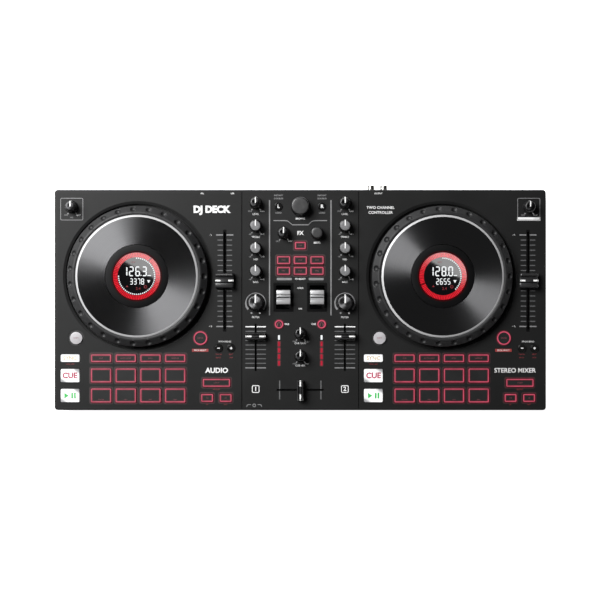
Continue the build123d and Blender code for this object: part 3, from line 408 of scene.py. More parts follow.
def bar(bm, x, y, w, d, low, high):
    """A closed flat block about a middle."""
    corners = ((-1, -1), (1, -1), (1, 1), (-1, 1))
    prism(bm, [(x + across * w / 2, y + along * d / 2) for across, along in corners], low, high)


def lit(name, color, strength, patch=3, shade=0.25, roughness=0.25):
    """Coloured plastic with light behind it, a little uneven, that shows an eighth of its colour unlit."""
    made = surface(name, color, roughness, patch=patch, shade=shade, grain=0.4, depth=0.01)
    shader = made.node_tree.nodes["Principled BSDF"]
    made.node_tree.links.remove(shader.inputs["Base Color"].links[0])
    set_sockets(made, shader, {"Base Color": (*(c * UNLIT for c in color), 1), "Emission Strength": strength,
                               "Emission Color": made.node_tree.nodes["Color Ramp"].outputs["Color"]})
    return made


def stroke(bm, x0, y0, x1, y1, w, low, high):
    """A bar with pointed ends, from one place to another."""
    along = Vector((x1 - x0, y1 - y0)).normalized()
    across = Vector((-along.y, along.x)) * w / 2
    tip = along * w * 0.35
    a, b = Vector((x0, y0)), Vector((x1, y1))
    corners = [a - tip, a + across * 0.8 - tip * 0.2, a + across + tip * 0.6, b + across - tip * 0.6,
               b + across * 0.8 + tip * 0.2, b + tip, b - across * 0.8 + tip * 0.2, b - across - tip * 0.6,
               a - across + tip * 0.6, a - across * 0.8 - tip * 0.2]
    prism(bm, [tuple(p) for p in corners], low, high)


def figure(bm, digit, x, y, w, h, pen, low, high):
    """One seven-stroke figure about its middle."""
    left, right, top, foot = x - w / 2, x + w / 2, y + h / 2, y - h / 2
    lines = {"a": (left, top, right, top), "b": (left, y, left, top), "c": (right, y, right, top),
             "d": (left, y, right, y), "e": (left, foot, left, y), "f": (right, foot, right, y),
             "g": (left, foot, right, foot)}
    for key in STROKES[digit]:
        x0, y0, x1, y1 = lines[key]
        gap = Vector((x1 - x0, y1 - y0)).normalized() * pen * 0.42
        stroke(bm, x0 + gap.x, y0 + gap.y, x1 - gap.x, y1 - gap.y, pen, low, high)


def words(bm, text, size, x, y, z, thick=FILM, bold=0.0):
    """Lettering as a thin raised film, about its middle; size is the height of a capital in mm."""
    curve = bpy.data.curves.new("lettering", "FONT")
    curve.body = text
    curve.size = size * MM / CAPITAL_SHARE
    curve.align_x, curve.align_y = "CENTER", "CENTER"
    curve.extrude = thick / 2
    curve.offset = bold * MM
    curve.resolution_u = 3
    holder = bpy.data.objects.new("lettering", curve)
    mesh = bpy.data.meshes.new_from_object(holder)
    mesh.transform(Matrix.Translation((x, y, z + thick / 2)))
    bm.from_mesh(mesh)
    bpy.data.objects.remove(holder)
    bpy.data.curves.remove(curve)
    bpy.data.meshes.remove(mesh)


SCREEN = surface("screen_black", (0.002, 0.002, 0.0024), 0.03, shade=0.3, grain=2.0, depth=0.0)
SCREEN_EDGE = surface("screen_edge", (0.0016, 0.0016, 0.0018), 0.50, patch=12, grain=0.3, depth=0.01)
dull(SCREEN_EDGE, 0.10)
RING_RED = lit("ring_red", (0.66, 0.014, 0.026), 1.0, patch=2, roughness=0.03)
RING_DEEP = lit("ring_deep", (0.15, 0.003, 0.006), 1.0, patch=2, roughness=0.03)
RING_HAZE = dull(lit("ring_haze", (0.030, 0.0008, 0.0016), 1.0, roughness=0.4), 0.05)
LENS_R, HAZE_R = 25.6 * MM, 27.2 * MM
DIGIT_WHITE = lit("digit_white", (0.84, 0.87, 0.88), 0.95, patch=5, shade=0.08)
DIM_RED = lit("dim_red", (0.20, 0.012, 0.018), 1.0, patch=2)
READOUT = {"left": ("126 3_", "3378", 274, 53), "right": ("128 0_", "2655", 140, 200)}

for side, jog in JOGS.items():
    top = jog.z - 0.35 * MM
    bm = bmesh.new()
    floor_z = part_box("jog_displays")[0].z
    turned(bm, jog.x, jog.y, [(0, floor_z), (LENS_R, floor_z), (LENS_R, top), (0, top)])
    fit(f"{side}_screen", bm, SCREEN, "chassis", ("jog_displays",) if side == "left" else ())
    bm = bmesh.new()
    rings(bm, jog.x, jog.y, [(LENS_R, floor_z), (DISPLAY_R, floor_z), (DISPLAY_R, top - 0.1 * MM),
                             (DISPLAY_R - 0.3 * MM, top), (LENS_R, top)], ROUND_CORNERS)
    fit(f"{side}_screen_edge", bm, SCREEN_EDGE, "chassis")
    bm = bmesh.new()
    hoop(bm, jog.x, jog.y, HAZE_R, LENS_R, top - FILM, top + FILM / 4, ROUND_CORNERS)
    fit(f"{side}_ring_haze", bm, RING_HAZE, "chassis")
    tempo, second, sweep, gap_at = READOUT[side]
    bm = bmesh.new()
    for part in range(RING_PARTS):
        turn = 360 * part / RING_PARTS
        if abs(turn - gap_at) < 2:
            continue
        half = 180 / RING_PARTS * LIT_SHARE
        angles = [radians(turn - half), radians(turn), radians(turn + half)]
        outline = [(jog.x + RING_OUT * cos(a), jog.y + RING_OUT * sin(a)) for a in angles]
        outline += [(jog.x + RING_IN * cos(a), jog.y + RING_IN * sin(a)) for a in reversed(angles)]
        prism(bm, outline, top, top + FILM)
    fit(f"{side}_ring_light", bm, RING_RED, "chassis")
    bm = bmesh.new()
    hoop(bm, jog.x, jog.y, RING_OUT, RING_IN, top, top + FILM / 2, ROUND_CORNERS)
    fit(f"{side}_ring_bed", bm, RING_DEEP, "chassis")
    bm = bmesh.new()
    for part in range(round(DOT_PARTS * sweep / 360)):
        turn = radians(90 - 360 * part / DOT_PARTS)
        dot = circle(jog.x + DOT_R * cos(turn), jog.y + DOT_R * sin(turn), DOT_SIZE / 2, 10)
        prism(bm, dot, top, top + FILM)
    for i, digit in enumerate(second):
        figure(bm, digit, jog.x + (-5.7 + 4.05 * i) * MM, jog.y - 5.7 * MM, 2.4 * MM, 6.0 * MM, 0.85 * MM,
               top, top + FILM)
    places = {0: -12.5, 1: -5.7, 2: 1.1, 4: 8.4}
    for i, digit in enumerate(tempo[:5]):
        if digit != " ":
            figure(bm, digit, jog.x + places[i] * MM, jog.y + 5.3 * MM, 3.9 * MM, 9.4 * MM, 1.3 * MM,
                   top, top + FILM)
    bar(bm, jog.x + 4.7 * MM, jog.y + 0.9 * MM, 1.1 * MM, 1.1 * MM, top, top + FILM)
    bar(bm, jog.x + 13.5 * MM, jog.y + 0.8 * MM, 3.8 * MM, 1.1 * MM, top, top + FILM)
    prism(bm, [(jog.x + 11.2 * MM, jog.y - 4.2 * MM), (jog.x + 13.0 * MM, jog.y - 7.4 * MM),
               (jog.x + 14.8 * MM, jog.y - 4.2 * MM)], top, top + FILM)
    fit(f"{side}_readout", bm, DIGIT_WHITE, "chassis")
    bm = bmesh.new()
    words(bm, "KEY", 1.9, jog.x - 3.4 * MM, jog.y + 15.0 * MM, top)
    words(bm, "2.4", 3.2, jog.x + 1.6 * MM, jog.y - 13.4 * MM, top)
    prism(bm, [(jog.x - 11.6 * MM, jog.y - 11.6 * MM), (jog.x - 9.0 * MM, jog.y - 11.6 * MM),
               (jog.x - 10.3 * MM, jog.y - 9.6 * MM)], top, top + FILM)
    hoop(bm, jog.x + 9.6 * MM, jog.y - 11.4 * MM, 1.7 * MM, 1.1 * MM, top, top + FILM, 20)
    fit(f"{side}_small_signs", bm, DIM_RED, "chassis")

# ---------------------------------------------------------------- pads and lit keys
# The pads are black silicone and the keys black plastic, each with a clear red rim moulded round
# its top. The rim glows from the light below it and spills a dark red glow onto the panel.

RIM_W = 1.0 * MM
RIM_INSET = 0.5 * MM
RIM_RISE = 0.10 * MM
RIM_CORNER = 1.2 * MM
# Heights of the thin films that carry painted red glow round lit keys and meters.
GLOW_FILM_FOOT, GLOW_FILM_TOP = PANEL_TOP - 0.4 * MM, PANEL_TOP + 0.02 * MM
KEY_BLACK = dull(surface("key_black", (0.0085, 0.0087, 0.0088), 0.5, patch=12, grain=0.4, depth=0.03), 0.22)
RIM_RED = lit("rim_red", (0.56, 0.070, 0.125), 0.9, patch=9, shade=0.25, roughness=0.3)
SPILL_RED = lit("spill_red", (0.070, 0.0022, 0.0070), 1.0, patch=7, shade=0.3, roughness=0.5)
FAINT_RED = lit("faint_red", (0.016, 0.0040, 0.0052), 1.0, patch=7, shade=0.3, roughness=0.5)
LEGEND_RED = lit("legend_red", (0.17, 0.035, 0.050), 1.0, patch=4, roughness=0.5)


def rounded(x, y, w, d, r, steps=5):
    """A rectangle's outline with round corners."""
    outline = []
    for cx, cy, start in ((1, 1, 0), (-1, 1, 90), (-1, -1, 180), (1, -1, 270)):
        for i in range(steps + 1):
            turn = radians(start + 90 * i / steps)
            outline.append((x + cx * (w / 2 - r) + r * cos(turn), y + cy * (d / 2 - r) + r * sin(turn)))
    return outline


def key_rims(bm, boxes):
    """Clear rims let into the tops of keys."""
    for box in boxes:
        x, y, w, d = spread(box)
        w, d, top = w - 2 * RIM_INSET, d - 2 * RIM_INSET, box[1].z
        outer = rounded(x, y, w, d, RIM_CORNER)
        crown = rounded(x, y, w - RIM_W, d - RIM_W, RIM_CORNER - RIM_W * 0.3)
        inner = rounded(x, y, w - 2 * RIM_W, d - 2 * RIM_W, RIM_CORNER - RIM_W * 0.6)
        wrap(bm, [[bm.verts.new((px, py, z)) for px, py in line] for line, z in
                  ((outer, top - 0.1 * MM), (outer, top), (crown, top + RIM_RISE), (inner, top),
                   (inner, top - 0.1 * MM))], closed=True)


def border(bm, x, y, w, d, grow_out, corner_out, grow_in, corner_in, low, high):
    """A flat ring whose two outlines are a rectangle's, each moved out by an amount."""
    tube(bm, rounded(x, y, w + 2 * grow_out, d + 2 * grow_out, corner_out),
         rounded(x, y, w + 2 * grow_in, d + 2 * grow_in, corner_in), low, high)


LIT_BANKS = ["left_pads", "left_mode_buttons", "left_loop_buttons", "right_pads", "right_mode_buttons",
             "right_loop_buttons", "fx_buttons"]
CAP_ABOVE = PANEL_TOP + 0.3 * MM
CAPS = {node: tops(node, CAP_ABOVE) for node in LIT_BANKS}
MODE_WORDS = ("CUE", "AUTO LOOP", "ROLL", "SAMPLER")
for node, caps in CAPS.items():
    dress(KEY_BLACK, node)
    bm, under_bm, spill_bm, faint_bm = (bmesh.new() for _ in range(4))
    key_rims(bm, caps)
    for box in caps:
        x, y, w, d = spread(box)
        top = box[1].z
        for out, inn in ((0.12 * MM, 0.52 * MM), (RIM_INSET + RIM_W, RIM_INSET + RIM_W + 0.9 * MM)):
            border(under_bm, x, y, w, d, -out, 0.9 * MM, -inn, 0.5 * MM, top - 0.1 * MM, top + 0.02 * MM)
        border(spill_bm, x, y, w, d, 0.8 * MM, 2.0 * MM, 0.3 * MM, 1.2 * MM, GLOW_FILM_FOOT, GLOW_FILM_TOP)
        border(faint_bm, x, y, w, d, 1.7 * MM, 2.4 * MM, 0.8 * MM, 2.0 * MM, GLOW_FILM_FOOT, PANEL_TOP + 0.015 * MM)
    fit(f"{node}_rims", bm, RIM_RED, node)
    fit(f"{node}_under_light", under_bm, SPILL_RED, node)
    fit(f"{node}_spill", spill_bm, SPILL_RED, "chassis")
    fit(f"{node}_faint_spill", faint_bm, FAINT_RED, "chassis")


def legends(name, node, boxes, texts, size, from_front=None):
    """A small red word let into the top of each key, at its middle or a way behind its front edge."""
    bm = bmesh.new()
    for box, text in zip(boxes, texts):
        x, y, _, _ = spread(box)
        words(bm, text, size, x, y if from_front is None else box[0].y + from_front, box[1].z)
    fit(name, bm, LEGEND_RED, node)


for side in ("left", "right"):
    pads, loops = CAPS[f"{side}_pads"], CAPS[f"{side}_loop_buttons"]
    front_row = min(low.y for low, _ in pads)
    lower = [cap for cap in pads if cap[0].y < front_row + 5 * MM]
    legends(f"{side}_pad_legends", f"{side}_pads", lower, ["STUTTER"] + ["PART"] * 3, 1.15, 3.4 * MM)
    legends(f"{side}_mode_legends", f"{side}_mode_buttons", CAPS[f"{side}_mode_buttons"], MODE_WORDS, 1.5)
    loop_words = ["LOOP" if high.x - low.x > 20 * MM else "1/2" if low.x < loops[-1][0].x - 5 * MM else "x2"
                  for low, high in loops]
    legends(f"{side}_loop_legends", f"{side}_loop_buttons", loops, loop_words, 1.6)
fx_caps = CAPS["fx_buttons"]
legends("fx_legends", "fx_buttons", fx_caps, [f"FX{i + 1}" for i in range(len(fx_caps))], 1.7)

# ---------------------------------------------------------------- play, cue and sync
# These keys are milky white polycarbonate, lit from below. They are bright across the middle, and
# greyer towards two corners, which is painted shade. Each has a coloured sign printed on it.

SIGN_PINK = lit("sign_pink", (0.42, 0.035, 0.09), 1.0, patch=3, roughness=0.4)
SIGN_GREEN = lit("sign_green", (0.05, 0.46, 0.10), 1.0, patch=3, roughness=0.4)
SIGN_AMBER = lit("sign_amber", (0.50, 0.36, 0.17), 1.0, patch=3, roughness=0.4)


def milky(name, x, y, half_w, half_d, corner_shade):
    """White plastic lit from below: bright across one diagonal, with painted shade greying the other two corners.
    """
    made = surface(name, (0.8, 0.8, 0.8), 0.35, grain=0.4)
    place = made.node_tree.nodes["Texture Coordinate"].outputs["Object"]
    off = add(made, "Mapping", {"Vector": place, "Location": (x, y, 0)})
    off.vector_type = "TEXTURE"
    off.inputs["Scale"].default_value = (half_w, half_d, 1)
    parts = add(made, "SeparateXYZ", {"Vector": off.outputs["Vector"]})
    diagonal = add(made, "Math", {0: parts.outputs["X"], 1: parts.outputs["Y"]})
    diagonal.operation = "MULTIPLY"
    # The grey at two corners is painted shade.
    light = ramp(made, diagonal.outputs["Value"], 0.18, (0.62, 0.62, 0.62), 0.62, (corner_shade, corner_shade, corner_shade * 1.03))
    set_sockets(made, made.node_tree.nodes["Principled BSDF"], {
        "Base Color": light, "Emission Color": light, "Emission Strength": 0.5})
    return made


SIGNS = {  # the painted shade grey at two corners, the sign's finish and its slot, the share of the key it takes, boldness
    "play": (0.20, SIGN_GREEN, "lit_green", 0, 0), "cue": (0.20, SIGN_PINK, "lit_red", 0.44, 0.3),
    "sync": (0.55, SIGN_AMBER, "lit_white", 0.56, 0.1)}
for side in ("left", "right"):
    for kind, (corner_shade, sign, slot, share, bold) in SIGNS.items():
        node = f"{side}_{kind}_button"
        box = tops(node, CAP_ABOVE)[0]
        x, y, w, d = spread(box)
        top = box[1].z
        dress(milky(f"{node}_white", x, y, w / 2, d / 2, corner_shade), node)
        bm = bmesh.new()
        if kind == "play":
            left, tall = x - w * 0.30, d * 0.22
            prism(bm, [(left, y - tall), (left + w * 0.24, y), (left, y + tall)], top, top + FILM)
            for i in (0, 1):
                bar(bm, x + w * (0.12 + 0.15 * i), y, w * 0.09, 2 * tall, top, top + FILM)
        else:
            words(bm, kind.upper(), d * share / MM, x, y, top, bold=bold)
        fit(f"{node}_sign", bm, sign, node)

# ---------------------------------------------------------------- round buttons
# The shift buttons are light grey plastic in a dished seat. The deck and headphone buttons are
# black with a red light ring. The load and bend buttons are small gloss black domes.

SHIFT_GREY = surface("shift_grey", (0.31, 0.30, 0.31), 0.4, patch=6, grain=0.3)
GLOSS_BLACK = surface("gloss_black", (0.006, 0.006, 0.006), 0.16, patch=8, grain=0.5, depth=0.004)
PRINT_WHITE = surface("print_white", (0.62, 0.62, 0.62), 0.5, patch=4, shade=0.1, grain=0.3)
SHIFT_R_MAX, DOME = 7.2 * MM, 0.12 * MM

round_caps = tops("shift_and_deck_buttons", CAP_ABOVE)
dress(KEY_BLACK, "shift_and_deck_buttons")
small_caps = tops("bend_and_load_buttons", CAP_ABOVE)
dress(GLOSS_BLACK, "bend_and_load_buttons")
cue_caps = tops("headphone_cue_buttons", CAP_ABOVE)
dress(KEY_BLACK, "headphone_cue_buttons")



def halo(x, y, r, z, width, bm):
    """A button's ring of light, and the painted red glow that it spills onto the panel."""
    hoop(bm, x, y, r - 0.1 * MM, r - width, z - 0.1 * MM, z + RIM_RISE)
    hoop(spill_bm, x, y, r + 0.9 * MM, r + 0.3 * MM, GLOW_FILM_FOOT, GLOW_FILM_TOP)


shift_bm, halo_bm, legend_bm, spill_bm, gap_shade_bm = (bmesh.new() for _ in range(5))
for box in round_caps:
    x, y, w, _ = spread(box)
    r, top = w / 2, box[1].z
    if r < SHIFT_R_MAX:
        turned(shift_bm, x, y, [(0, top - 0.2 * MM), (r - 0.1 * MM, top - 0.2 * MM), (r - 0.1 * MM, top),
                                (r - 0.6 * MM, top + DOME), (0, top + DOME)])
        words(legend_bm, "SHIFT", 1.7, x, y, top + DOME)
        # A black ring low in the dish round the button is painted shadow of the gap.
        hoop(gap_shade_bm, x, y, 8.5 * MM, r + 0.3 * MM, PANEL_TOP - 0.6 * MM, PANEL_TOP - 0.48 * MM, 64)
    else:
        halo(x, y, r, top, 1.35 * MM, halo_bm)
        words(legend_bm, "DECK", 1.8, x, y, top)
fit("shift_caps", shift_bm, SHIFT_GREY, "shift_and_deck_buttons")
# A near-black finish for the painted shadow in the shift buttons' dishes.
SHIFT_GAP_SHADE = surface("shift_gap_shade", (0.0025, 0.0025, 0.0026), 0.5, patch=4)
fit("shift_gap_shades", gap_shade_bm, SHIFT_GAP_SHADE, "chassis")
fit("deck_halos", halo_bm, RIM_RED, "shift_and_deck_buttons")
fit("round_legends", legend_bm, LEGEND_RED, "shift_and_deck_buttons")

halo_bm, sign_bm = bmesh.new(), bmesh.new()
for box in cue_caps:
    x, y, w, _ = spread(box)
    top = box[1].z
    halo(x, y, w / 2, top, 1.5 * MM, halo_bm)
    arch = [(x + r * cos(radians(t)), y + r * sin(radians(t))) for r, turns in
            ((2.0 * MM, range(0, 181, 15)), (1.4 * MM, range(180, -1, -15))) for t in turns]
    prism(sign_bm, arch, top, top + FILM)
    for way in (-1, 1):
        bar(sign_bm, x + way * 1.7 * MM, y - 0.9 * MM, 1.1 * MM, 1.8 * MM, top, top + FILM)
fit("cue_halos", halo_bm, RIM_RED, "headphone_cue_buttons")
fit("cue_signs", sign_bm, LEGEND_RED, "headphone_cue_buttons")
fit("round_spill", spill_bm, SPILL_RED, "chassis")

bm = bmesh.new()
for box in small_caps:
    x, y, _, _ = spread(box)
    if y > 0:
        words(bm, "L" if x < 0 else "R", 3.8, x, y, box[1].z, bold=0.12)
    else:
        bar(bm, x, y, 2.7 * MM, 0.9 * MM, box[1].z, box[1].z + FILM)
bends = sorted(spread(box)[:2] for box in small_caps if box[0].y < 0)
for x, _ in bends[1::2]:
    z = small_caps[0][1].z
    bar(bm, x, bends[0][1], 0.9 * MM, 2.7 * MM, z, z + FILM * 0.9)
fit("small_button_signs", bm, PRINT_WHITE, "bend_and_load_buttons")

# ---------------------------------------------------------------- knobs
# Each knob is a soft-touch moulding on a steel shaft: a skirt, a fluted grip that tapers in, a
# crown with a turned insert, and a white pointer let into the top and down the side.

KNOB_LIFT = 0.9 * MM
FLUTES, CORNERS_PER_FLUTE, FLUTE_DEEP, POINTER_DEEP = 14, 8, 0.55 * MM, 1.2 * MM
SOFT_BLACK = surface("soft_black", (0.0030, 0.0030, 0.0032), 0.36, patch=5, grain=0.25, depth=0.02)
POINTER = surface("pointer_white", (0.70, 0.70, 0.69), 0.4, patch=3, shade=0.06, grain=0.3)


def spun(name, color):
    """A small metal disc, finished with fine rings about its own middle."""
    made = surface(name, color, 0.34, metallic=1.0, patch=3, shade=0.1, grain=0.2, depth=0.004)
    set_sockets(made, made.node_tree.nodes["Principled BSDF"],
                {"Anisotropic": 0.8, "Tangent": round_about(made)})
    return made


SPUN_BLACK = spun("spun_black", (0.030, 0.030, 0.031))
SPUN_STEEL = spun("spun_steel", (0.13, 0.13, 0.133))
SPUN_GREY = surface("spun_grey", (0.115, 0.115, 0.118), 0.42, patch=1.2, shade=0.3, grain=0.25, depth=0.03)
PLAIN_GREY = surface("plain_grey", (0.020, 0.020, 0.0202), 0.42, patch=3, shade=0.2, grain=0.25, depth=0.015)
STYLES = {
    # grip radius over skirt radius, crown radius over skirt radius, insert, slot, has a pointer and flutes
    "small": (0.93, 0.84, SPUN_BLACK, "knob_black", True),
    "eq": (0.96, 0.93, SPUN_GREY, "knob_grey", True),
    "filter": (0.95, 0.86, SPUN_STEEL, "knob_black", True),
    "plain": (0.97, 0.92, PLAIN_GREY, "knob_black", False),
}


def knob_style(node):
    """Which of the four mouldings a knob's node is."""
    if node in ("browse_knob", "fx_beats_knob"):
        return "plain"
    if "filter" in node:
        return "filter"
    return "eq" if any(word in node for word in ("treble", "mid_knob", "bass")) else "small"


def knob(node):
    """Builds one knob from its skirt up, in the room that its CAD solid takes."""
    x, y, w, _ = spread(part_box(node))
    grip, crown, insert_finish, slot, pointed = STYLES[knob_style(node)]
    r, foot, top = w / 2, PANEL_TOP + KNOB_LIFT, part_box(node)[1].z
    height, crown_r = top - foot, r * crown
    levels = [(r * 0.97, foot, 0), (r, foot + 0.3 * MM, 0), (r, foot + height * 0.16, 0),
              (r * grip, foot + height * 0.22, 0.2), (r * (grip + crown) / 2, foot + height * 0.6, 1),
              (crown_r, top - 0.9 * MM, 1), (crown_r - 0.5 * MM, top - 0.25 * MM, 0.4),
              (crown_r - 1.1 * MM, top - 0.1 * MM, 0), (crown_r - 1.5 * MM, top - 0.55 * MM, 0)]
    bm = bmesh.new()
    rims = []
    for radius, z, depth in levels:
        rim = []
        for i in range(FLUTES * CORNERS_PER_FLUTE):
            turn = 2 * pi * i / (FLUTES * CORNERS_PER_FLUTE)
            cut = depth * FLUTE_DEEP * max(0.0, cos(FLUTES * turn)) ** 1.5 if pointed else 0.0
            rim.append(bm.verts.new((x + (radius - cut) * cos(turn), y + (radius - cut) * sin(turn), z)))
        rims.append(rim)
    capped(bm, rims)
    fit(f"{node}_grip", bm, SOFT_BLACK, node, (node,), smooth=50)
    insert_r, seat = crown_r - 1.1 * MM, top - 0.5 * MM
    bm = bmesh.new()
    turned(bm, x, y, [(0, seat), (insert_r, seat), (insert_r, top - 0.16 * MM), (insert_r * 0.93, top - 0.05 * MM),
                      (insert_r * 0.5, top - 0.12 * MM), (0, top - 0.16 * MM)], 64)
    fit(f"{node}_insert", bm, insert_finish, node, smooth=60)
    if not pointed:
        return
    bm = bmesh.new()
    pen = (1.15 if r < 8 * MM else 1.5) * MM
    near, far = y - 0.3 * MM, y + crown_r
    bar(bm, x, (near + far) / 2, pen, far - near, top - 0.6 * MM, top)
    line_top, line_foot, edge = top - 0.02 * MM, foot + height * 0.14, y + r + 0.02 * MM
    wall = ((far, line_top), (edge, line_foot), (edge - POINTER_DEEP, line_foot), (far - POINTER_DEEP, line_top))
    capped(bm, [[bm.verts.new((x + way * pen / 2, along, z)) for along, z in wall] for way in (-1, 1)])
    fit(f"{node}_pointer", bm, POINTER, node)


KNOBS = sorted(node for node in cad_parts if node.endswith("_knob"))
for node in KNOBS:
    knob(node)

# ---------------------------------------------------------------- faders
# The fader caps are black moulded plastic, stepped so that a finger finds the middle ridge, which
# has a white mark at each end. Each is pushed onto a steel lever that comes up through its slot.

CAP_LIFT = 1.5 * MM
# places along a cap from its middle, as shares of its half length, with the cap's height there
PITCH_STEPS = [(1.0, 0.0), (1.0, 0.25), (0.93, 0.84), (0.86, 0.97), (0.70, 1.0), (0.58, 0.93), (0.50, 0.68),
               (0.34, 0.64), (0.24, 0.70), (0.19, 0.86), (0.13, 0.90)]
MIX_STEPS = [(1.0, 0.0), (1.0, 0.35), (0.86, 0.90), (0.66, 1.0), (0.50, 0.92), (0.36, 0.70), (0.30, 0.72),
             (0.24, 0.84), (0.18, 0.86)]
# places across a cap, as shares of its width, with how far its edges drop there in mm
CAP_STATIONS = [(-0.5, 1.4), (-0.47, 0.4), (-0.44, 0.0), (0.44, 0.0), (0.47, 0.4), (0.5, 1.4)]
CAP_BLACK = surface("cap_black", (0.013, 0.013, 0.0135), 0.36, patch=6, grain=0.3, depth=0.02)
FADERS = ["left_pitch_fader", "right_pitch_fader", "left_channel_fader", "right_channel_fader", "crossfader"]


def fader_cap(node):
    """Builds one fader cap about its middle, its two white marks and its lever."""
    x, y, size_x, size_y = spread(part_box(node))
    low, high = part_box(node)
    across_x, pitch = node != "crossfader", "pitch" in node
    w, half = size_x if across_x else size_y, (8.4 if pitch else 3.7) * MM
    foot = PANEL_TOP + CAP_LIFT
    h = high.z - foot
    steps = PITCH_STEPS if pitch else MIX_STEPS
    profile = [(way * s * half, foot + t * h) for way in (1, -1) for s, t in steps[::way]]
    bm = bmesh.new()
    rows = []
    for share, drop in CAP_STATIONS:
        row = []
        for along, z in profile:
            sink = drop * MM * max(0.0, (z - foot) / h - 0.3)
            row.append(bm.verts.new((share * w, along * (1 - sink / half * 0.3), z - sink)))
        rows.append(row)
    capped(bm, rows)
    turn = Matrix.Identity(4) if across_x else Matrix.Rotation(radians(-90), 4, "Z")
    stand = Matrix.Translation((x, y, 0)) @ turn
    bmesh.ops.transform(bm, matrix=stand, verts=bm.verts)
    fit(f"{node}_cap", bm, CAP_BLACK, node, (node,), smooth=25)
    ridge = foot + h * (0.90 if pitch else 0.86)
    mark_l, mark_w = (4.2 if pitch else 5.2) * MM, (1.7 if pitch else 1.6) * MM
    bm, lever_bm = bmesh.new(), bmesh.new()
    for way in (-1, 1):
        bar(bm, way * (w / 2 * 0.88 - mark_l / 2), 0, mark_l, mark_w, ridge - 0.2 * MM, ridge + 0.05 * MM)
        bar(bm, way * (w / 2 * 0.94), 0, w * 0.06, mark_w, ridge - 1.0 * MM, ridge - 0.18 * MM)
    bar(lever_bm, 0, 0, 1.4 * MM, 3.6 * MM, low.z, foot + 0.5 * MM)
    for made in (bm, lever_bm):
        bmesh.ops.transform(made, matrix=stand, verts=made.verts)
    fit(f"{node}_marks", bm, POINTER, node)
    fit(f"{node}_lever", lever_bm, NICKEL, node)


for node in FADERS:
    fader_cap(node)

# ---------------------------------------------------------------- effect paddles
# The two paddles are cast and plated in satin silver. Each has a bright lip at either end and a
# grooved saddle between them for a fingertip, and stands in a deep black well. A dark film round
# the well's mouth is painted shade.

SATIN_SILVER = surface("satin_silver", (0.35, 0.35, 0.354), 0.42, metallic=0.45, patch=8, grain=0.2,
                       depth=0.006, stretch=(0.1, 1, 1))
# A near-black, barely reflecting film laid round the mouths of wells and slots: painted shade.
OPENING_SHADE_BLACK = dull(surface("opening_shade_black", (0.0016, 0.0016, 0.0017), 0.55, patch=6, grain=0.3, depth=0.01), 0.06)
SHADE_FILM_FOOT, SHADE_FILM_TOP = PANEL_TOP - 0.1 * MM, PANEL_TOP + 0.012 * MM
SADDLE_STEPS = [(-1.0, 0.25), (-1.0, 0.72), (-0.93, 0.90), (-0.75, 1.0), (-0.42, 0.98), (-0.36, 0.80),
                (-0.33, 0.66), (-0.22, 0.70), (-0.20, 0.64), (-0.10, 0.69), (-0.07, 0.63), (0.07, 0.63)]


def paddle(node):
    """Builds one paddle's head on its stalk, and a dark film of painted shade round its well."""
    low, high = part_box(node)
    x, y, _, length = spread((low, high))
    w, h = 15.0 * MM, 6.4 * MM
    foot, half = high.z - h, length / 2
    shape = SADDLE_STEPS + [(-s, t) for s, t in reversed(SADDLE_STEPS)] + [(0.55, 0.0), (-0.55, 0.0)]
    bm = bmesh.new()
    rows = []
    for share, sink in ((-0.5, 0.5), (-0.485, 0.12), (-0.455, 0), (0.455, 0), (0.485, 0.12), (0.5, 0.5)):
        drop = sink * MM
        rows.append([bm.verts.new((x + share * w, y + s * half * (1 - drop / half), foot + t * h - drop * t))
                     for s, t in shape])
    capped(bm, rows)
    fit(f"{node}_head", bm, SATIN_SILVER, node, (node,), smooth=28)
    bm = bmesh.new()
    bar(bm, x, y, 13.6 * MM, 5.4 * MM, low.z + 3.2 * MM, foot + 0.5 * MM)
    fit(f"{node}_stalk", bm, SOFT_BLACK, node)
    bm = bmesh.new()
    tube(bm, rounded(x, y, 22.0 * MM, 31.0 * MM, 0.5 * MM), rounded(x, y, 16.4 * MM, 26.0 * MM, 0.3 * MM),
         SHADE_FILM_FOOT, SHADE_FILM_TOP)
    fit(f"{node}_well_shade", bm, OPENING_SHADE_BLACK, "chassis")


paddle("left_fx_paddle")
paddle("right_fx_paddle")

# ---------------------------------------------------------------- level meters
# Each meter is a row of five light guides let flush into the plate. The top one glows white and
# the four below it glow red, with dark red light round them.

METERS = tops("level_meters", PANEL_TOP - 1 * MM)
meter_top = max(high.y for _, high in METERS)
METER_RED = lit("meter_red", (0.62, 0.02, 0.05), 0.55, patch=2, shade=0.35)
white_bm, red_bm, glow_bm = bmesh.new(), bmesh.new(), bmesh.new()
for box in METERS:
    x, y, w, d = spread(box)
    top_one = box[1].y > meter_top - 1 * MM
    prism(white_bm if top_one else red_bm, rounded(x, y, w, d, 0.5 * MM), PANEL_TOP - 2 * MM, box[1].z)
    if not top_one:
        border(glow_bm, x, y, w, d, 0.95 * MM, 1.2 * MM, 0, 0.5 * MM, PANEL_TOP - 0.1 * MM, GLOW_FILM_TOP)
fit("meter_peaks", white_bm, DIGIT_WHITE, "chassis", ("level_meters",))
fit("meter_bars", red_bm, METER_RED, "chassis")
fit("meter_glow", glow_bm, SPILL_RED, "chassis")

# ---------------------------------------------------------------- printing on the decks
# The deck panels are screen printed in white and two greys: marks beside the pitch fader, a box
# round the corner knob, and short generic words by the sockets and controls.

PRINT_GREY = surface("print_grey", (0.15, 0.15, 0.153), 0.5, patch=4, shade=0.1, grain=0.3)
PRINT_DIM = surface("print_dim", (0.075, 0.076, 0.078), 0.5, patch=4, shade=0.1, grain=0.3)
PRINT_RED = surface("print_red", (0.16, 0.012, 0.016), 0.5, patch=4, shade=0.1, grain=0.3)
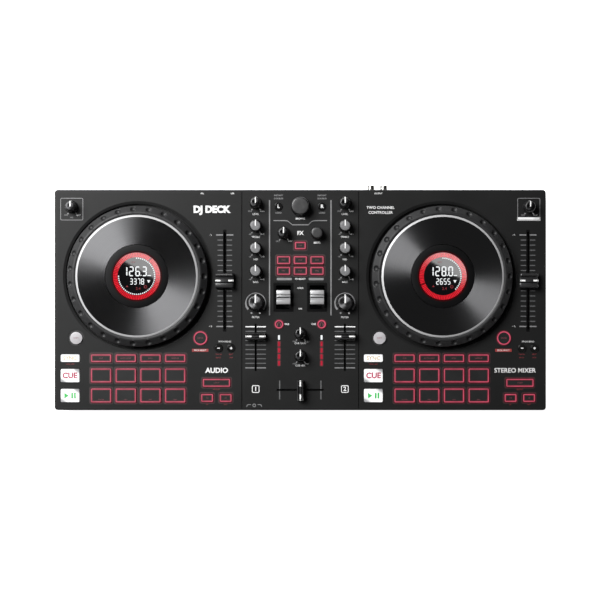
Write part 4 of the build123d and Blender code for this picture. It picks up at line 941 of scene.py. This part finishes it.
# Red print under the deck select words, with an emission on it: the glow is painted light on its printed red.
LABEL_RED_GLOW = lit("label_red_glow", (0.55, 0.05, 0.05), 0.35, roughness=0.5)
PITCH_TICKS, TICK_GAP = 19, 5.54 * MM
INK = 0.05 * MM
INK_Z, INK_TOP = PANEL_TOP - 0.01 * MM, PANEL_TOP + 0.05 * MM
BY_REAR_EDGE = 116.1 * MM


def ink(bm, outline):
    """A printed shape on the panel."""
    prism(bm, outline, INK_Z, INK_TOP)


def mark(bm, x, y, w, d):
    """A printed bar on the panel."""
    bar(bm, x, y, w, d, INK_Z, INK_TOP)


def print_words(bm, text, size, x, y, bold=0.0):
    """Printed lettering on the panel; size and bold in mm."""
    words(bm, text, size, x, y, INK_Z, INK, bold)


def frame_line(bm, x, y, w, d, corner, pen):
    """A printed box with round corners."""
    border(bm, x, y, w, d, 0, corner, -pen, corner - pen, INK_Z, INK_TOP)


def middle(node):
    """The middle of a node's box, seen from above."""
    return spread(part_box(node))[:2]


case_mid = (case_low.y + case_high.y) / 2
for side in ("left", "right"):
    white, grey, dim, red, label, slot = (bmesh.new() for _ in range(6))
    px, py = middle(f"{side}_pitch_fader")
    for i in range(PITCH_TICKS):
        end = i in (0, PITCH_TICKS - 1)
        y = py + (i - (PITCH_TICKS - 1) / 2) * TICK_GAP
        for way in (-1, 1):
            start, stop = (1.9 * MM, 9.3 * MM) if end else (2.0 * MM, 7.9 * MM)
            mark(grey if end else dim, px + way * (start + stop) / 2, y, stop - start, (1.3 if end else 0.95) * MM)
    reach = (PITCH_TICKS - 1) / 2 * TICK_GAP
    for way, text in ((1, "- %"), (-1, "+ %")):
        print_words(white, text, 1.7, px - 15.5 * MM, py + way * reach)
    print_words(white, "PITCH BEND", 1.75, px, py - 66.5 * MM)
    edge_l = 2 * (reach + 5.7 * MM)
    # A dark film round the pitch slot's mouth is painted shade.
    tube(slot, rounded(px, py, 3.7 * MM, edge_l, 0.4 * MM), rounded(px, py, 3.0 * MM, edge_l - 5 * MM, 0.3 * MM),
         SHADE_FILM_FOOT, SHADE_FILM_TOP)
    for way, pair in ((-1, ("TRACK", "BACK")), (1, ("BEAT", "SKIP"))):
        for row, text in enumerate(pair):
            print_words(red, text, 1.5, px + way * 6.9 * MM, py - (80.3 + 3.6 * row) * MM)
    own = [box for box in round_caps if (box[0].x < 0) == (side == "left")]
    dx, dy, _, _ = spread(max(own, key=lambda box: box[0].x))
    # The red box is printed; its glow is painted light.
    mark(label, dx - 0.3 * MM, dy - 13.4 * MM, 17.8 * MM, 3.2 * MM)
    words(white, "DECK SELECT", 1.6, dx - 0.3 * MM, dy - 13.4 * MM, INK_TOP, thick=0.03 * MM)
    sx, sy = middle(f"{side}_sync_button")
    print_words(red, "SYNC OFF", 1.5, sx, sy - 6.6 * MM)
    loops = CAPS[f"{side}_loop_buttons"]
    for low, high in loops:
        wide = high.x - low.x > 20 * MM
        text = "RELOOP" if wide else ("IN" if low.x < px - 5 * MM and low.x < loops[1][0].x + 1 * MM else "OUT")
        print_words(red, text, 1.4, (low.x + high.x) / 2, low.y - 2.6 * MM)
    gx, gy = middle("mic_gain_knob" if side == "left" else "master_gain_knob")
    frame_line(grey, gx, gy - 2.3 * MM, 24.8 * MM, 24.3 * MM, 1.6 * MM, 0.6 * MM)
    if side == "left":
        print_words(white, "MIC", 1.6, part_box("mic_jack")[0].x + 6.5 * MM, case_mid + BY_REAR_EDGE, 0.03)
        print_words(white, "USB", 1.6, middle("usb_port")[0], case_mid + BY_REAR_EDGE, 0.03)
        print_words(white, "DJ DECK", 7.4, px - 14.5 * MM, case_mid + 98.5 * MM, 0.55)
        print_words(grey, "MIC", 1.5, gx, gy - 11.6 * MM)
        print_words(white, "AUDIO", 5.6, px - 8.7 * MM, py - 98.0 * MM, 0.25)
    else:
        print_words(white, "OUTPUT", 1.6, middle("output_jacks")[0], case_mid + BY_REAR_EDGE, 0.03)
        for row, text in enumerate(("TWO CHANNEL", "CONTROLLER")):
            print_words(white, text, 3.0, 87.5 * MM, case_mid + (100.6 - 5.4 * row) * MM, 0.06)
        mark(white, gx, gy - 13.0 * MM, 25.3 * MM, 3.6 * MM)
        print_words(white, "STEREO MIXER", 5.0, px - 14.2 * MM, py - 98.0 * MM, 0.08)
    fit(f"{side}_deck_white_print", white, PRINT_WHITE, "chassis")
    fit(f"{side}_deck_grey_print", grey, PRINT_GREY, "chassis")
    fit(f"{side}_deck_dim_print", dim, PRINT_DIM, "chassis")
    fit(f"{side}_slot_shade", slot, OPENING_SHADE_BLACK, "chassis")
    fit(f"{side}_deck_red_print", red, PRINT_RED, "chassis")
    fit(f"{side}_deck_label_glow", label, LABEL_RED_GLOW, "chassis")

# ---------------------------------------------------------------- printing round the knobs
# Every knob has two small marks at the ends of its turn, a small word beside each and its own
# name below. The filters have a crescent that thickens towards the ends of the turn.

KNOB_NAMES = {"level": "LEVEL", "treble": "TREBLE", "mid_knob": "MID", "bass": "BASS", "filter": "FILTER",
              "cue_gain": "CUE GAIN", "cue_mix": "CUE MIX"}
white, grey = bmesh.new(), bmesh.new()


def turn_mark(bm, x, y, angle, start, stop, pen):
    """A short printed line that points at a knob's middle."""
    way = Vector((cos(radians(angle)), sin(radians(angle))))
    side_step = Vector((-way.y, way.x)) * pen / 2
    a, b = way * start, way * stop
    ink(bm, [(x + p.x, y + p.y) for p in (a - side_step, b - side_step, b + side_step, a + side_step)])


for node in KNOBS:
    x, y = middle(node)
    style = knob_style(node)
    if style == "plain":
        continue
    size = spread(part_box(node))[2] / 2
    title = next((text for key, text in KNOB_NAMES.items() if key in node and "mic" not in node), "")
    if style == "filter":
        ends = [radians(-42 + 264 * i / 48) for i in range(49)]
        ring = [((10.9 + 1.15 * (0.5 * (1 - sin(t)) ** 1.3)) * MM, t) for t in ends]
        ring += [((10.2 - 0.5 * (0.30 * (1 - sin(t)))) * MM, t) for t in reversed(ends)]
        ink(grey, [(x + r * cos(t), y + r * sin(t)) for r, t in ring])
        for way, bm in ((-1, grey), (1, white)):
            ink(bm, circle(x + way * 4.6 * MM, y - 11.3 * MM, 1.0 * MM, 16))
        print_words(white, title, 2.1, x, y - 15.9 * MM)
        continue
    turn_mark(grey, x, y, 240, size + 0.7 * MM, size + 2.4 * MM, 1.1 * MM)
    turn_mark(white, x, y, -56, size + 0.5 * MM, size + 2.6 * MM, 1.2 * MM)
    ends = ("-dB", "+6dB") if style == "eq" else ("DRY", "WET") if node == "fx_mix_knob" else ("MIN", "MAX")
    print_words(grey, ends[0], 1.6, x - 6.3 * MM, y - 8.9 * MM)
    print_words(white, ends[1], 1.6, x + 7.2 * MM, y - 8.9 * MM)
    if title:
        print_words(white, title, 2.0, x, y - (10.8 if "cue" in node else 12.0) * MM)
fit("knob_white_print", white, PRINT_WHITE, "chassis")
fit("knob_grey_print", grey, PRINT_GREY, "chassis")

# ---------------------------------------------------------------- printing on the mixer plate
# Grey lines divide the knob columns from the middle, and a stepped line sets off the browse
# controls. The channel faders have ten marks a side, and the crossfader one at each end.

MIX_TICKS, MIX_TICK_GAP = 10, 4.98 * MM
white, grey, dim = bmesh.new(), bmesh.new(), bmesh.new()
browse_x, browse_y = middle("browse_knob")
for way in (-1, 1):
    x = way * 33.5 * MM
    rear, front = browse_y + 7.0 * MM, middle("left_filter_knob")[1] - 13.8 * MM
    mark(grey, x, (rear + front) / 2, 1.3 * MM, rear - front)
    for text, size, up in (("INSTANT", 1.7, 12.1), ("DOUBLES", 1.7, 8.7), ("LOAD", 1.8, -6.9)):
        print_words(grey, text, size, way * 23.7 * MM, browse_y + up * MM, 0.05)
step_y = browse_y - 15.3 * MM
path = [(-29.2, 0), (-16.5, 0), (-14.6, -0.25), (-13.0, -0.9), (-8.6, -4.6), (8.8, -4.6), (12.6, -0.9),
        (14.6, -0.25), (16.5, 0), (29.2, 0)]
ink(grey, [(px * MM, step_y + py * MM + way * 0.475 * MM) for way in (1, -1) for px, py in path[::way]])
fx_y, fx_front = middle("fx_mix_knob")[1], min(low.y for low, _ in CAPS["fx_buttons"])
for way in (-1, 1):
    ink(grey, rounded(way * 17.4 * MM, fx_front - 4.2 * MM, 16.4 * MM, 2.5 * MM, 1.0 * MM))
paddle_y = middle("left_fx_paddle")[1]
for text, size, x, y, bold in (
        ("BROWSE", 1.9, browse_x, browse_y - 13.3 * MM, 0.05), ("FX", 4.2, 0, fx_y, 0.18),
        ("BEATS", 1.9, middle("fx_beats_knob")[0], fx_y - 10.5 * MM, 0.05),
        ("FX SELECT", 1.75, 0, fx_front - 4.2 * MM, 0.05), ("HOLD", 1.75, 0, paddle_y + 10.0 * MM, 0.05),
        ("ON", 1.75, 0, paddle_y - 12.6 * MM, 0.05)):
    print_words(white, text, size, x, y, bold)
for box, way in zip(cue_caps, (1, -1)):
    x, y, _, _ = spread(box)
    print_words(white, "CUE", 1.9, x + way * 8.6 * MM, y, 0.05)
slot_y = case_mid - 51.55 * MM
for node in ("left_channel_fader", "right_channel_fader"):
    x = middle(node)[0]
    for i in range(MIX_TICKS):
        end = i in (0, MIX_TICKS - 1)
        y = slot_y + (i - (MIX_TICKS - 1) / 2) * MIX_TICK_GAP
        for way in (-1, 1):
            target = white if i == MIX_TICKS - 1 else (grey if end else dim)
            mark(target, x + way * 6.2 * MM, y, 9.9 * MM, (1.15 if end else 0.9) * MM)
cross_x, cross_y = middle("crossfader")
for way in (-1, 1):
    for half in (-1, 1):
        mark(dim, cross_x + way * 22.5 * MM, cross_y + half * 5.7 * MM, 1.2 * MM, 9.2 * MM)
for node, number in (("left_channel_fader", "1"), ("right_channel_fader", "2")):
    x, y = middle(node)[0], cross_y + 1.0 * MM
    frame_line(white, x, y, 8.2 * MM, 8.2 * MM, 1.6 * MM, 0.8 * MM)
    print_words(white, number, 4.6, x, y, 0.2)
icon_x, icon_y = middle("left_channel_fader")[0] - 1.6 * MM, case_low.y + 5.4 * MM
hoop(grey, icon_x, icon_y, 1.9 * MM, 1.15 * MM, INK_Z, INK_TOP, 24)
for way in (-1, 1):
    arm = [(way * a * MM, b * MM) for a, b in ((3.7, 1.2), (6.4, 1.2), (8.0, 0.4), (8.6, -1.6), (7.8, -1.6),
                                               (7.3, 0.0), (6.2, 0.5), (3.7, 0.5))]
    ink(grey, [(icon_x + a, icon_y + b) for a, b in arm])
fit("mixer_white_print", white, PRINT_WHITE, "chassis")
fit("mixer_grey_print", grey, PRINT_GREY, "chassis")
fit("mixer_dim_print", dim, PRINT_DIM, "chassis")

# ---------------------------------------------------------------- studio
# The controller lies on a white sweep. A large soft light stands to its rear left, a dimmer one to
# its front right, and two small ones hang where the displays mirror them to someone above.

VIEW_W, CAMERA_H, SWEEP = 654 * MM, 1.5, 40
floor = bpy.data.meshes.new("floor")
corners = [(x * SWEEP, y * SWEEP, 0) for x, y in ((-1, -1), (1, -1), (1, 1), (-1, 1))]
floor.from_pydata(corners, [], [(0, 1, 2, 3)])
sweep = surface("sweep_paper", (0.9, 0.9, 0.9), 0.9, patch=400, shade=0.01, grain=2)
set_sockets(sweep, sweep.node_tree.nodes["Principled BSDF"],
            {"Emission Color": (1, 1, 1, 1), "Emission Strength": 1.0})
floor.materials.append(sweep)
floor_piece = bpy.data.objects.new("floor", floor)
bpy.context.scene.collection.objects.link(floor_piece)


def soft_light(name, place, target, width, depth, watts, spin=0.0):
    """A rectangular soft light that faces a target."""
    lamp = bpy.data.lights.new(name, "AREA")
    lamp.shape = "RECTANGLE"
    lamp.size, lamp.size_y = width, depth
    lamp.energy = watts
    holder = bpy.data.objects.new(name, lamp)
    aim = (Vector(target) - Vector(place)).to_track_quat("-Z", "Y").to_matrix().to_4x4()
    holder.matrix_world = Matrix.Translation(place) @ aim @ Matrix.Rotation(radians(spin), 4, "Z")
    holder.visible_camera = False
    bpy.context.scene.collection.objects.link(holder)


soft_light("key", (-1.0, 0.75, 1.35), (0, 0, 0), 1.07, 1.07, 83)
soft_light("fill", (1.3, -1.2, 1.5), (0, 0, 0), 0.9, 0.9, 2)
SHEEN_H, SHEEN_TILT = 1.0, radians(-29.8)
for side, jog in JOGS.items():
    grow = SHEEN_H / (CAMERA_H - jog.z + PANEL_TOP)
    off = 31.5 * MM
    place = (jog.x * (1 + grow) - off * sin(SHEEN_TILT),
             jog.y + (jog.y - case_mid) * grow + off * cos(SHEEN_TILT), jog.z + SHEEN_H)
    soft_light(f"{side}_sheen", place, (place[0], place[1], 0), 100 * MM, 37.5 * MM, 0.085, degrees(SHEEN_TILT))

world = bpy.data.worlds.new("studio")
world.use_nodes = True
world.node_tree.nodes["Background"].inputs["Color"].default_value = (1, 1, 1, 1)
world.node_tree.nodes["Background"].inputs["Strength"].default_value = 0.05
bpy.context.scene.world = world
bpy.context.scene.view_settings.view_transform = "Standard"

camera = bpy.data.cameras.new("camera")
camera.sensor_width = 36
camera.lens = camera.sensor_width * CAMERA_H / VIEW_W
stand = bpy.data.objects.new("camera", camera)
stand.location = (-0.3 * MM, case_mid, PANEL_TOP + CAMERA_H)
bpy.context.scene.collection.objects.link(stand)
bpy.context.scene.camera = stand
